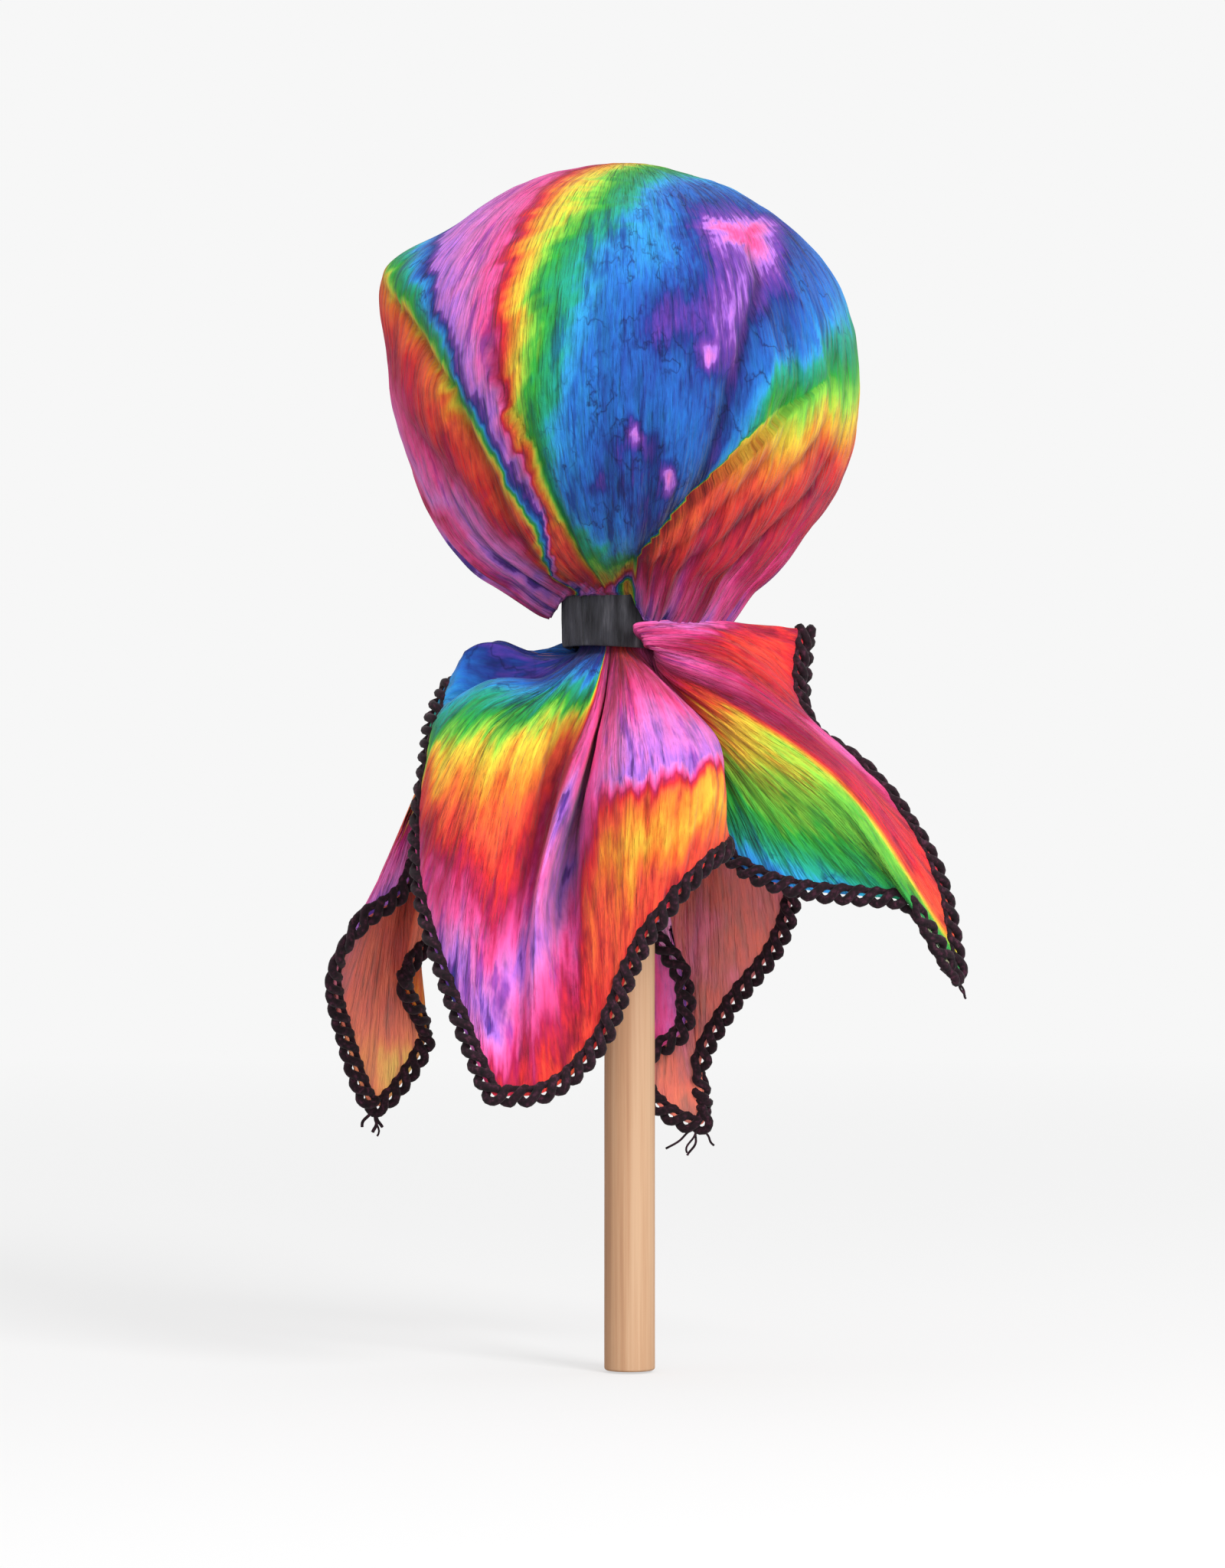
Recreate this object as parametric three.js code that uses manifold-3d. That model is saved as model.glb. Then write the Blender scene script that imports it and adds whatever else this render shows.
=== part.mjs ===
// Soft-headed wand. A foam ball sits on a wooden dowel under one square of tie-dyed
// crinkle cloth. A black band gathers the cloth at the neck, so that its four corners
// hang below the band as tails, and a black overlocked edging runs round its hem.
// Millimetres. +Z runs up the dowel, -Y is the front, and the origin is the centre of
// the dowel's lower end.

import * as THREE from 'three';
import { ParametricGeometry } from 'three/addons/geometries/ParametricGeometry.js';
import { mergeVertices } from 'three/addons/utils/BufferGeometryUtils.js';
import Module from 'manifold-3d';

const wasm = await Module();
wasm.setup();

// Driving dimensions.
const GAP = 0.3; // clearance between neighbouring pieces
const DOWEL_RADIUS = 6.35; // half-inch dowel
const DOWEL_LENGTH = 254; // ten inches
const DOWEL_ROUNDING = 0.8; // worn rim of each end
const HEAD_CENTRE_Z = 246;
const CORE_RADIUS = 50.8; // four-inch foam ball
const BATTING_INNER_RADIUS = 51.8;
const BATTING_RADIUS = 54;
const BATTING_OPENING_Z = 200; // the batting stops short of the neck
const COVER_HALF_WIDTH = 59.8;
const COVER_HALF_HEIGHT = 56.3;
const COVER_THICKNESS = 1.2; // several crinkled layers
const COVER_SHIFT_X = -2.5; // the cover hangs a little to the left
const COVER_SHIFT_HEIGHT = 35; // height over which that shift grows from the neck
const BUMP = { centre: [-54, -6, 275], push: [-9, -1, 3], spread: 15 }; // proud pleat
const BAND_BOTTOM_Z = 181;
const BAND_TOP_Z = 193;
const BAND_RADIUS = 16.6;
const BAND_THICKNESS = 1.6;
const SKIRT_TOP_Z = 180;
const SKIRT_NECK_RADIUS = 12.8;
const SKIRT_THICKNESS = 1.2;
const EDGING_RADIUS = 1.6;
const FLEX_GAP = 6; // open strip where each tail bends

// Mesh resolution.
const ROUND_SEGMENTS = 28;
const ARC_POINTS = 12;
const SKIRT_RAYS_PER_SIDE = 10;
const SKIRT_ROWS = 8;
const EDGING_SIDES = 5;

// The skirt cloth. Its hem runs left side, front corner, front side, right corner and
// on round to the left corner. Each key has the azimuth where its ray leaves the neck,
// the two points that shape the ray on its way down, and the hem point at its end.
// "leave" and "arrive" shape the hem between this key and the next one.
const HEM_KEYS = [
  { azimuth: 188, shoulder: [-25, -4, 178], knee: [-38, -8, 188], hem: [-46.7, -8, 175],
    leave: [-51, -27, 168], arrive: [-60, -38, 101] },
  { azimuth: 232, shoulder: [-17, -27, 184], knee: [-42, -48, 150], hem: [-35, -45, 72],
    leave: [-12, -47, 66], arrive: [24, -50, 132] },
  { azimuth: 300, shoulder: [10, -17, 178], knee: [17, -22, 160], hem: [20, -19, 134],
    leave: [34, -32, 118], arrive: [76, -36, 136] },
  { azimuth: 340, shoulder: [23, -9, 186], knee: [56, -28, 158], hem: [82.3, -22, 99],
    leave: [80, -6, 144], arrive: [44, 3, 168] },
  { azimuth: 376, shoulder: [22, 4, 180], knee: [26, 8, 194], hem: [46, 14, 185.5],
    leave: [46, 27, 178], arrive: [38, 40, 100] },
  { azimuth: 425, shoulder: [9, 22, 184], knee: [19, 38, 110], hem: [19, 36, 60],
    leave: [0, 32, 58], arrive: [26, 27, 96] },
  { azimuth: 465, shoulder: [-6, 24, 184], knee: [-8, 32, 150], hem: [-8, 30, 122],
    leave: [-44, 34, 122], arrive: [-58, 26, 92] },
  { azimuth: 518, shoulder: [-24, 14, 185], knee: [-60, 26, 130], hem: [-65, 20, 65],
    leave: [-88, 6, 86], arrive: [-46, 9, 152] },
];

// Each tail bends about a straight line across the cloth. "flex" gives the two hem
// positions, counted in keys, that the line runs between, "lift" moves the line out to
// the crest of the cloth there, and "zone" is the space that holds only this tail.
const FAR = 200;
const TAILS = [
  { name: 'front', corner: 1, flex: [0.56, 1.76], lift: 9.2,
    zone: { min: [-FAR, -FAR, -FAR], max: [24, -13, FAR] } },
  { name: 'right', corner: 3, flex: [2.3, 3.55], lift: 12.7,
    zone: { min: [24, -FAR, -FAR], max: [FAR, 12, FAR] } },
  { name: 'back', corner: 5, flex: [4.7, 5.7], lift: 4.1,
    zone: { min: [-20, 10, -FAR], max: [FAR, FAR, FAR] } },
  { name: 'left', corner: 7, flex: [6.5, 7.6], lift: 5.1,
    zone: { min: [-FAR, -13, -FAR], max: [-20, FAR, FAR] } },
];
const SIDE_NAMES = ['left', 'front', 'right', 'back'];

const wood = new THREE.MeshStandardMaterial({ color: 0xd8b88e, roughness: 0.6 });
const foam = new THREE.MeshStandardMaterial({ color: 0xf1efe6, roughness: 0.9 });
const batting = new THREE.MeshStandardMaterial({ color: 0xf8f7f3, roughness: 1 });
const blueCloth = new THREE.MeshStandardMaterial({ color: 0x2a69bd, roughness: 0.9 });
const redCloth = new THREE.MeshStandardMaterial({ color: 0xd24a52, roughness: 0.9 });
const elastic = new THREE.MeshStandardMaterial({ color: 0x3b3b40, roughness: 0.8 });
const thread = new THREE.MeshStandardMaterial({ color: 0x2c161f, roughness: 0.85 });

const wand = new THREE.Group();

function addPiece(name, geometry, material) {
  const mesh = new THREE.Mesh(geometry, material);
  mesh.name = name;
  wand.add(mesh);
}

// Turned pieces.

// Points of an ellipse round the head's centre, from height fromZ to height toZ.
function headArc(halfWidth, halfHeight, fromZ, toZ) {
  const angleAt = (z) => Math.asin(THREE.MathUtils.clamp((z - HEAD_CENTRE_Z) / halfHeight, -1, 1));
  const from = angleAt(fromZ);
  const to = angleAt(toZ);
  return Array.from({ length: ARC_POINTS + 1 }, (_, step) => {
    const angle = from + ((to - from) * step) / ARC_POINTS;
    const radius = Math.max(0, halfWidth * Math.cos(angle));
    return new THREE.Vector2(radius, HEAD_CENTRE_Z + halfHeight * Math.sin(angle));
  });
}

function turned(profile) {
  const points = profile.map((point) => new THREE.Vector2(...point));
  return new THREE.LatheGeometry(points, ROUND_SEGMENTS).rotateX(Math.PI / 2);
}

function dowelGeometry() {
  const flatRadius = DOWEL_RADIUS - DOWEL_ROUNDING;
  return turned([
    [0, 0],
    [flatRadius, 0],
    [DOWEL_RADIUS, DOWEL_ROUNDING],
    [DOWEL_RADIUS, DOWEL_LENGTH - DOWEL_ROUNDING],
    [flatRadius, DOWEL_LENGTH],
    [0, DOWEL_LENGTH],
  ]);
}

// The ball has a blind hole that the dowel is glued into.
function coreGeometry() {
  const holeRadius = DOWEL_RADIUS + GAP;
  const holeTopZ = DOWEL_LENGTH + GAP;
  const mouthZ = HEAD_CENTRE_Z - Math.sqrt(CORE_RADIUS ** 2 - holeRadius ** 2);
  return turned([
    [0, holeTopZ],
    [holeRadius, holeTopZ],
    ...headArc(CORE_RADIUS, CORE_RADIUS, mouthZ, HEAD_CENTRE_Z + CORE_RADIUS),
  ]);
}

function battingGeometry() {
  const inner = BATTING_INNER_RADIUS;
  return turned([
    ...headArc(inner, inner, HEAD_CENTRE_Z + inner, BATTING_OPENING_Z),
    ...headArc(
      BATTING_RADIUS,
      BATTING_RADIUS,
      BATTING_OPENING_Z,
      HEAD_CENTRE_Z + BATTING_RADIUS,
    ),
  ]);
}

// Moves the cover off the dowel's axis above the neck, and swells its proud pleat.
function hangCover(point) {
  const bumpCentre = new THREE.Vector3(...BUMP.centre);
  const distance = point.distanceTo(bumpCentre);
  const swell = Math.exp(-(distance ** 2) / (2 * BUMP.spread ** 2));
  const shift = THREE.MathUtils.smoothstep(point.z, BAND_TOP_Z, BAND_TOP_Z + COVER_SHIFT_HEIGHT);
  point.x += COVER_SHIFT_X * shift;
  point.addScaledVector(new THREE.Vector3(...BUMP.push), swell);
}

// The cover goes over the head, under the band and down to the band's lower edge.
function coverGeometry() {
  const sleeveInner = DOWEL_RADIUS + GAP;
  const sleeveOuter = BAND_RADIUS - BAND_THICKNESS - GAP;
  const floorZ = BAND_TOP_Z + 2 * GAP;
  const innerHalfWidth = COVER_HALF_WIDTH - COVER_THICKNESS;
  const innerHalfHeight = COVER_HALF_HEIGHT - COVER_THICKNESS;
  const innerFloorZ = floorZ + COVER_THICKNESS;
  const geometry = turned([
    ...headArc(innerHalfWidth, innerHalfHeight, HEAD_CENTRE_Z + innerHalfHeight, innerFloorZ),
    [sleeveInner, innerFloorZ],
    [sleeveInner, BAND_BOTTOM_Z],
    [sleeveOuter, BAND_BOTTOM_Z],
    [sleeveOuter, floorZ],
    ...headArc(COVER_HALF_WIDTH, COVER_HALF_HEIGHT, floorZ, HEAD_CENTRE_Z + COVER_HALF_HEIGHT),
  ]);
  const positions = geometry.attributes.position;
  const point = new THREE.Vector3();
  for (let index = 0; index < positions.count; index++) {
    point.fromBufferAttribute(positions, index);
    hangCover(point);
    positions.setXYZ(index, point.x, point.y, point.z);
  }
  return geometry;
}

function bandGeometry() {
  const inner = BAND_RADIUS - BAND_THICKNESS;
  return turned([
    [inner, BAND_BOTTOM_Z],
    [BAND_RADIUS, BAND_BOTTOM_Z],
    [BAND_RADIUS, BAND_TOP_Z],
    [inner, BAND_TOP_Z],
    [inner, BAND_BOTTOM_Z],
  ]);
}

// Skirt surface. "turn" counts keys round the hem, and "fall" runs from 0 at the neck
// to 1 at the hem.

const keyCount = HEM_KEYS.length;
const shoulderCurve = closedCurve('shoulder');
const kneeCurve = closedCurve('knee');
const hemCurves = HEM_KEYS.map((key, index) => {
  const next = HEM_KEYS[(index + 1) % keyCount];
  const points = [key.hem, key.leave, key.arrive, next.hem];
  return new THREE.CubicBezierCurve3(...points.map((point) => new THREE.Vector3(...point)));
});

function closedCurve(field) {
  const points = HEM_KEYS.map((key) => new THREE.Vector3(...key[field]));
  return new THREE.CatmullRomCurve3(points, true);
}

function wrapTurn(turn) {
  return ((turn % keyCount) + keyCount) % keyCount;
}

function hemPoint(turn) {
  const wrapped = wrapTurn(turn);
  const index = Math.floor(wrapped);
  return hemCurves[index].getPoint(wrapped - index);
}

function neckPoint(turn) {
  const wrapped = wrapTurn(turn);
  const index = Math.floor(wrapped);
  const next = HEM_KEYS[(index + 1) % keyCount];
  const nextAzimuth = next.azimuth + (index + 1 === keyCount ? 360 : 0);
  const azimuth = THREE.MathUtils.lerp(HEM_KEYS[index].azimuth, nextAzimuth, wrapped - index);
  const angle = THREE.MathUtils.degToRad(azimuth);
  return new THREE.Vector3(
    SKIRT_NECK_RADIUS * Math.cos(angle),
    SKIRT_NECK_RADIUS * Math.sin(angle),
    SKIRT_TOP_Z,
  );
}

function skirtPoint(turn, fall) {
  const along = wrapTurn(turn) / keyCount;
  const ray = new THREE.CubicBezierCurve3(
    neckPoint(turn),
    shoulderCurve.getPoint(along),
    kneeCurve.getPoint(along),
    hemPoint(turn),
  );
  return ray.getPoint(fall);
}

// Directions at a point of the skirt: round it, down it, and out through its face.
function skirtFrame(turn, fall) {
  const step = 0.002;
  const upper = Math.max(0, fall - step);
  const lower = Math.min(1, fall + step);
  const round = skirtPoint(turn + step, fall).sub(skirtPoint(turn - step, fall)).normalize();
  const down = skirtPoint(turn, lower).sub(skirtPoint(turn, upper)).normalize();
  const face = new THREE.Vector3().crossVectors(down, round).normalize();
  return { round, face };
}

// One closed shell: up the outer face from the hem, and down the inner one. "swell"
// moves both faces away from the cloth.
function skirtGeometry(swell) {
  const stacks = 2 * SKIRT_ROWS + 2;
  const surface = (around, across, target) => {
    const turn = around * keyCount;
    const row = Math.round(across * stacks) % stacks;
    const isOuter = row <= SKIRT_ROWS;
    const fall = isOuter ? 1 - row / SKIRT_ROWS : (row - SKIRT_ROWS - 1) / SKIRT_ROWS;
    const offset = isOuter ? swell : -SKIRT_THICKNESS - swell;
    target.copy(skirtPoint(turn, fall));
    target.addScaledVector(skirtFrame(turn, fall).face, offset);
  };
  return new ParametricGeometry(surface, keyCount * SKIRT_RAYS_PER_SIDE, stacks);
}

// A closed cord that follows the hem just outside the cloth.
function edgingGeometry() {
  const surface = (around, across, target) => {
    const turn = around * keyCount;
    const { round, face } = skirtFrame(turn, 1);
    const outward = new THREE.Vector3().crossVectors(round, face).normalize();
    const angle = across * 2 * Math.PI;
    target.copy(skirtPoint(turn, 1));
    target.addScaledVector(face, EDGING_RADIUS * Math.sin(angle) - SKIRT_THICKNESS / 2);
    target.addScaledVector(outward, GAP + EDGING_RADIUS * (1 + Math.cos(angle)));
  };
  return new ParametricGeometry(surface, keyCount * SKIRT_RAYS_PER_SIDE, EDGING_SIDES);
}

// Cutting the skirt and its edging into a yoke and four tails.

function toSolid(geometry) {
  const plain = geometry.clone();
  plain.deleteAttribute('normal');
  plain.deleteAttribute('uv');
  const merged = mergeVertices(plain);
  return new wasm.Manifold(new wasm.Mesh({
    numProp: 3,
    vertProperties: new Float32Array(merged.attributes.position.array),
    triVerts: new Uint32Array(merged.index.array),
  }));
}

function toGeometry(solid) {
  const mesh = solid.getMesh();
  const geometry = new THREE.BufferGeometry();
  geometry.setAttribute('position', new THREE.BufferAttribute(mesh.vertProperties, 3));
  geometry.setIndex(new THREE.BufferAttribute(mesh.triVerts, 1));
  geometry.computeVertexNormals();
  return geometry;
}

function largestOf(solid) {
  return solid.decompose().reduce((best, part) => (part.volume() > best.volume() ? part : best));
}

function nearestTo(point, solids) {
  const distance = (solid) => {
    const { min, max } = solid.boundingBox();
    const box = new THREE.Box3(new THREE.Vector3(...min), new THREE.Vector3(...max));
    return box.getCenter(new THREE.Vector3()).distanceTo(point);
  };
  return solids.reduce((best, part) => (distance(part) < distance(best) ? part : best));
}

// The line that a tail bends about: its middle, its direction, the way down the tail
// and the way out from it.
function flexLine(tail) {
  const [from, to] = tail.flex.map(hemPoint);
  const axis = to.clone().sub(from).normalize();
  const middle = from.clone().add(to).multiplyScalar(0.5);
  const down = hemPoint(tail.corner).sub(middle);
  down.addScaledVector(axis, -down.dot(axis)).normalize();
  const out = new THREE.Vector3().crossVectors(down, axis);
  middle.addScaledVector(out, tail.lift);
  return { axis, middle, down, out };
}

// Everything in the tail's zone that lies further down than its bending line.
function beyondFlexLine(tail, distance) {
  const { axis, middle, down, out } = flexLine(tail);
  const half = new THREE.BoxGeometry(2 * FAR, 2 * FAR, 2 * FAR).translate(0, 0, FAR + distance);
  half.applyMatrix4(new THREE.Matrix4().makeBasis(axis, out, down));
  half.translate(middle.x, middle.y, middle.z);
  const { min, max } = tail.zone;
  const size = max.map((value, index) => value - min[index]);
  const centre = max.map((value, index) => (value + min[index]) / 2);
  const zone = new THREE.BoxGeometry(...size).translate(...centre);
  return toSolid(half).intersect(toSolid(zone));
}

addPiece('handle_dowel', dowelGeometry(), wood);
addPiece('head_core', coreGeometry(), foam);
addPiece('batting_wrap', battingGeometry(), batting);
addPiece('head_cover', coverGeometry(), blueCloth);
addPiece('neck_band', bandGeometry(), elastic);

const skirt = toSolid(skirtGeometry(0));
const edging = toSolid(edgingGeometry()).subtract(toSolid(skirtGeometry(GAP)));
let yoke = skirt;
let sideEdging = edging;
for (const tail of TAILS) {
  const below = beyondFlexLine(tail, FLEX_GAP / 2);
  const cleared = beyondFlexLine(tail, -FLEX_GAP / 2);
  addPiece(`tail_${tail.name}`, toGeometry(largestOf(skirt.intersect(below))), redCloth);
  addPiece(`tail_${tail.name}_edging`, toGeometry(largestOf(edging.intersect(below))), thread);
  yoke = yoke.subtract(cleared);
  sideEdging = sideEdging.subtract(cleared);
}
addPiece('skirt_yoke', toGeometry(largestOf(yoke)), blueCloth);
const sides = sideEdging.decompose().sort((one, other) => other.volume() - one.volume());
SIDE_NAMES.forEach((name, index) => {
  const side = nearestTo(hemPoint(2 * index), sides.slice(0, SIDE_NAMES.length));
  addPiece(`edging_${name}`, toGeometry(side), thread);
});

export default wand;
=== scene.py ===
"""The looks of a soft-headed wand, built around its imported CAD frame.

A tie-dyed crinkle cloth covers a foam ball on a wooden dowel. A black band gathers it at
the neck, and below the band it opens into four panels that end in the hanging corners.
Shapes are worked out in millimetres in the frame's own axes (+Z up the dowel, -Y to the
front), and turned into metres when their mesh is made.
"""

import math

import bpy
import numpy as np
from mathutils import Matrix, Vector


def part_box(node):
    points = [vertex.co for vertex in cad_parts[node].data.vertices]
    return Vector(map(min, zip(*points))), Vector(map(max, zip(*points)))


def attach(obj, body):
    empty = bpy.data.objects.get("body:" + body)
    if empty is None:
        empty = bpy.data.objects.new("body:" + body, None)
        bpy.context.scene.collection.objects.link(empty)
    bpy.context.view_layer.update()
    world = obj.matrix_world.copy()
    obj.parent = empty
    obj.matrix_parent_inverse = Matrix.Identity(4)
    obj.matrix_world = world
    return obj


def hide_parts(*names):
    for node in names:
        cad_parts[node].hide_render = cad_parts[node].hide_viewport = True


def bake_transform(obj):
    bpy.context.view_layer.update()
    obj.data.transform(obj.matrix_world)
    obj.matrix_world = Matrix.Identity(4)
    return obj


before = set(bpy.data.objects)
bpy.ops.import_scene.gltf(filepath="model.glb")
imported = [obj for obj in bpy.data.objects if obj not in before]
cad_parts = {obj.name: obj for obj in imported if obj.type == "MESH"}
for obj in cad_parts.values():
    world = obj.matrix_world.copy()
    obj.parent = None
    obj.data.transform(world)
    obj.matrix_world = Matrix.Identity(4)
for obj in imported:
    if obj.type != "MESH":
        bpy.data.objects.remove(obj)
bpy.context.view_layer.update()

MM = 0.001
TAU = 2 * math.pi
ROOT = "wand"
CLOTH_SLOT = "tie_dye_cloth"
THREAD_SLOT = "edging_thread"

# Sizes in millimetres.
CLOTH_THICKNESS = 0.7
EDGING_PITCH = 4.3
EDGING_HALF_WIDTH = 1.8
EDGING_HALF_DEPTH = 0.85
STRAND_RADIUS = 1.15


def box_mm(node):
    low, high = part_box(node)
    return np.array(low) / MM, np.array(high) / MM


core_low, core_high = box_mm("head_core")
band_low, band_high = box_mm("neck_band")
dowel_low, dowel_high = box_mm("handle_dowel")
CORE_RADIUS = (core_high[0] - core_low[0]) / 2
HEAD_CENTRE = np.array([0, 0, core_high[2] - CORE_RADIUS])
BAND_RADIUS = (band_high[0] - band_low[0]) / 2
DOWEL_RADIUS = (dowel_high[0] - dowel_low[0]) / 2

# ---------------------------------------------------------------- general helpers


def stand_for(piece, slot, *nodes):
    """Hides the CAD nodes, so that piece is their visible form. slot is not used."""
    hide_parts(*nodes)


def fix_to_wand(piece, slot, *nodes):
    stand_for(piece, slot, *nodes)
    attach(piece, ROOT)


def smoothstep(low, high, value):
    t = np.clip((value - low) / (high - low), 0, 1)
    return t * t * (3 - 2 * t)


def unit(vectors):
    length = np.linalg.norm(vectors, axis=-1, keepdims=True)
    return vectors / np.maximum(length, 1e-9)


def noise(points, seed):
    """Smooth value noise from -1 to 1 at points, an array whose last axis has 2 or 3 numbers."""
    points = np.asarray(points, float)
    cell = np.floor(points).astype(np.int64)
    part = points - cell
    part = part * part * (3 - 2 * part)
    total = np.zeros(points.shape[:-1])
    dimensions = points.shape[-1]
    for corner in range(2**dimensions):
        offset = np.array([(corner >> k) & 1 for k in range(dimensions)])
        weight = np.prod(np.where(offset == 1, part, 1 - part), axis=-1)
        total += weight * lattice_value(cell + offset, seed)
    return total


def lattice_value(cell, seed):
    """A scattered value from -1 to 1 for each whole-numbered cell, made with large odd factors."""
    primes = np.array([73856093, 19349663, 83492791])[: cell.shape[-1]]
    mixed = (cell * primes).sum(-1) + seed * 1013904223
    mixed = (mixed ^ (mixed >> 13)) * 1274126177 & 0x7FFFFFFF
    mixed = (mixed ^ (mixed >> 16)) * 1911520717 & 0x7FFFFFFF
    return (mixed % 20011) / 10005.5 - 1


def layered_noise(points, seed, layers=3):
    points = np.asarray(points, float)
    return sum(noise(points * 2**k, seed + k) / 2**k for k in range(layers)) / 1.5


def spline(points, steps, closed=False, pull=0.5):
    """A smooth curve through the first axis of points, with steps[i] steps after point i."""
    points = np.asarray(points, float)
    count = len(points)
    pieces = []
    for i in range(count if closed else count - 1):
        if closed:
            before, here = points[i - 1], points[i]
            after, later = points[(i + 1) % count], points[(i + 2) % count]
        else:
            here, after = points[i], points[i + 1]
            before = points[i - 1] if i > 0 else 2 * here - after
            later = points[i + 2] if i + 2 < count else 2 * after - here
        t = (np.arange(steps[i]) / steps[i]).reshape((-1,) + (1,) * (points.ndim - 1))
        leave, arrive = pull * (after - before), pull * (later - here)
        pieces.append(
            (2 * t**3 - 3 * t**2 + 1) * here
            + (t**3 - 2 * t**2 + t) * leave
            + (3 * t**2 - 2 * t**3) * after
            + (t**3 - t**2) * arrive
        )
    if not closed:
        pieces.append(points[-1:])
    return np.concatenate(pieces)


def grid_faces(columns, rows, first=0, wrap=False):
    """Quads of a grid whose vertex (column, row) is first + column * rows + row."""
    c = np.arange(columns if wrap else columns - 1)[:, None]
    r = np.arange(rows - 1)[None, :]
    after = (c + 1) % columns
    quads = [c * rows + r, after * rows + r, after * rows + r + 1, c * rows + r + 1]
    return first + np.stack([np.broadcast_to(q, (len(c), rows - 1)) for q in quads], -1).reshape(-1, 4)


def add_mesh(name, vertices, faces, material, grain=None, normals=None, **values):
    """A mesh from millimetre vertices. grain is a texture place per face corner, and each
    of values is one number per vertex."""
    faces = [np.asarray(f).reshape(len(f), -1) for f in faces if len(f)]
    mesh = bpy.data.meshes.new(name)
    corners = np.concatenate([f.ravel() for f in faces]).astype(np.int32)
    sizes = np.concatenate([np.full(len(f), f.shape[1]) for f in faces])
    mesh.vertices.add(len(vertices))
    mesh.vertices.foreach_set("co", (np.asarray(vertices) * MM).astype(np.float32).ravel())
    mesh.loops.add(len(corners))
    mesh.loops.foreach_set("vertex_index", corners)
    mesh.polygons.add(len(sizes))
    mesh.polygons.foreach_set("loop_start", np.concatenate([[0], np.cumsum(sizes)[:-1]]).astype(np.int32))
    mesh.polygons.foreach_set("use_smooth", np.ones(len(sizes), bool))
    mesh.update(calc_edges=True)
    for key, value in values.items():
        mesh.attributes.new(key, "FLOAT", "POINT").data.foreach_set("value", value.astype(np.float32).ravel())
    if grain is not None:
        layer = mesh.uv_layers.new(name="grain")
        per_corner = grain if len(grain) == len(corners) else grain[corners]
        layer.data.foreach_set("uv", (per_corner * MM).astype(np.float32).ravel())
    if normals is not None:
        mesh.normals_split_custom_set_from_vertices(normals)
    mesh.materials.append(material)
    piece = bpy.data.objects.new(name, mesh)
    bpy.context.scene.collection.objects.link(piece)
    return piece


def swept_tube(path, side, up, half_width, half_depth, sides):
    """Vertices and faces of a closed tube. side and up are the section's directions at
    each point of path."""
    turn = np.arange(sides) * TAU / sides
    ring = (
        half_width * np.cos(turn)[None, :, None] * side[:, None, :]
        + half_depth * np.sin(turn)[None, :, None] * up[:, None, :]
    )
    vertices = (path[:, None, :] + ring).reshape(-1, 3)
    count = len(path)
    i = np.arange(count - 1)[:, None]
    j = np.arange(sides)[None, :]
    after = (j + 1) % sides
    walls = np.stack(
        [i * sides + j, i * sides + after, (i + 1) * sides + after, (i + 1) * sides + j], -1
    ).reshape(-1, 4)
    ends = np.stack([np.arange(sides)[::-1], np.arange(sides) + (count - 1) * sides])
    return vertices, walls, ends


def turned_mesh(name, profile, columns, material, ripple):
    """A turned piece. profile runs from axis to axis as (radius, height), and ripple is a
    function that moves the grid of its points."""
    profile = np.asarray(profile, float)
    inner = profile[1:-1]
    angle = np.arange(columns) * TAU / columns
    radius = np.broadcast_to(inner[:, 0], (columns, len(inner)))
    height = np.broadcast_to(inner[:, 1], (columns, len(inner)))
    grid = np.stack([radius * np.cos(angle)[:, None], radius * np.sin(angle)[:, None], height], -1)
    grid = ripple(grid)
    rows = len(inner)
    vertices = np.concatenate([grid.reshape(-1, 3), [[0, 0, profile[0, 1]], [0, 0, profile[-1, 1]]]])
    c = np.arange(columns)
    after = (c + 1) % columns
    bottom = np.stack([after * rows, c * rows, np.full(columns, columns * rows)], -1)
    top = np.stack([c * rows + rows - 1, after * rows + rows - 1, np.full(columns, columns * rows + 1)], -1)
    quads = grid_faces(columns, rows, wrap=True)
    return add_mesh(name, vertices, [quads, bottom, top], material)


# ---------------------------------------------------------------- materials


def srgb(red, green, blue):
    """A linear colour from 0-255 display values."""
    values = np.array([red, green, blue]) / 255
    linear = np.where(values <= 0.04045, values / 12.92, ((values + 0.055) / 1.055) ** 2.4)
    return (*linear.tolist(), 1.0)


def grey(value):
    return (value, value, value, 1.0)


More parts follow.
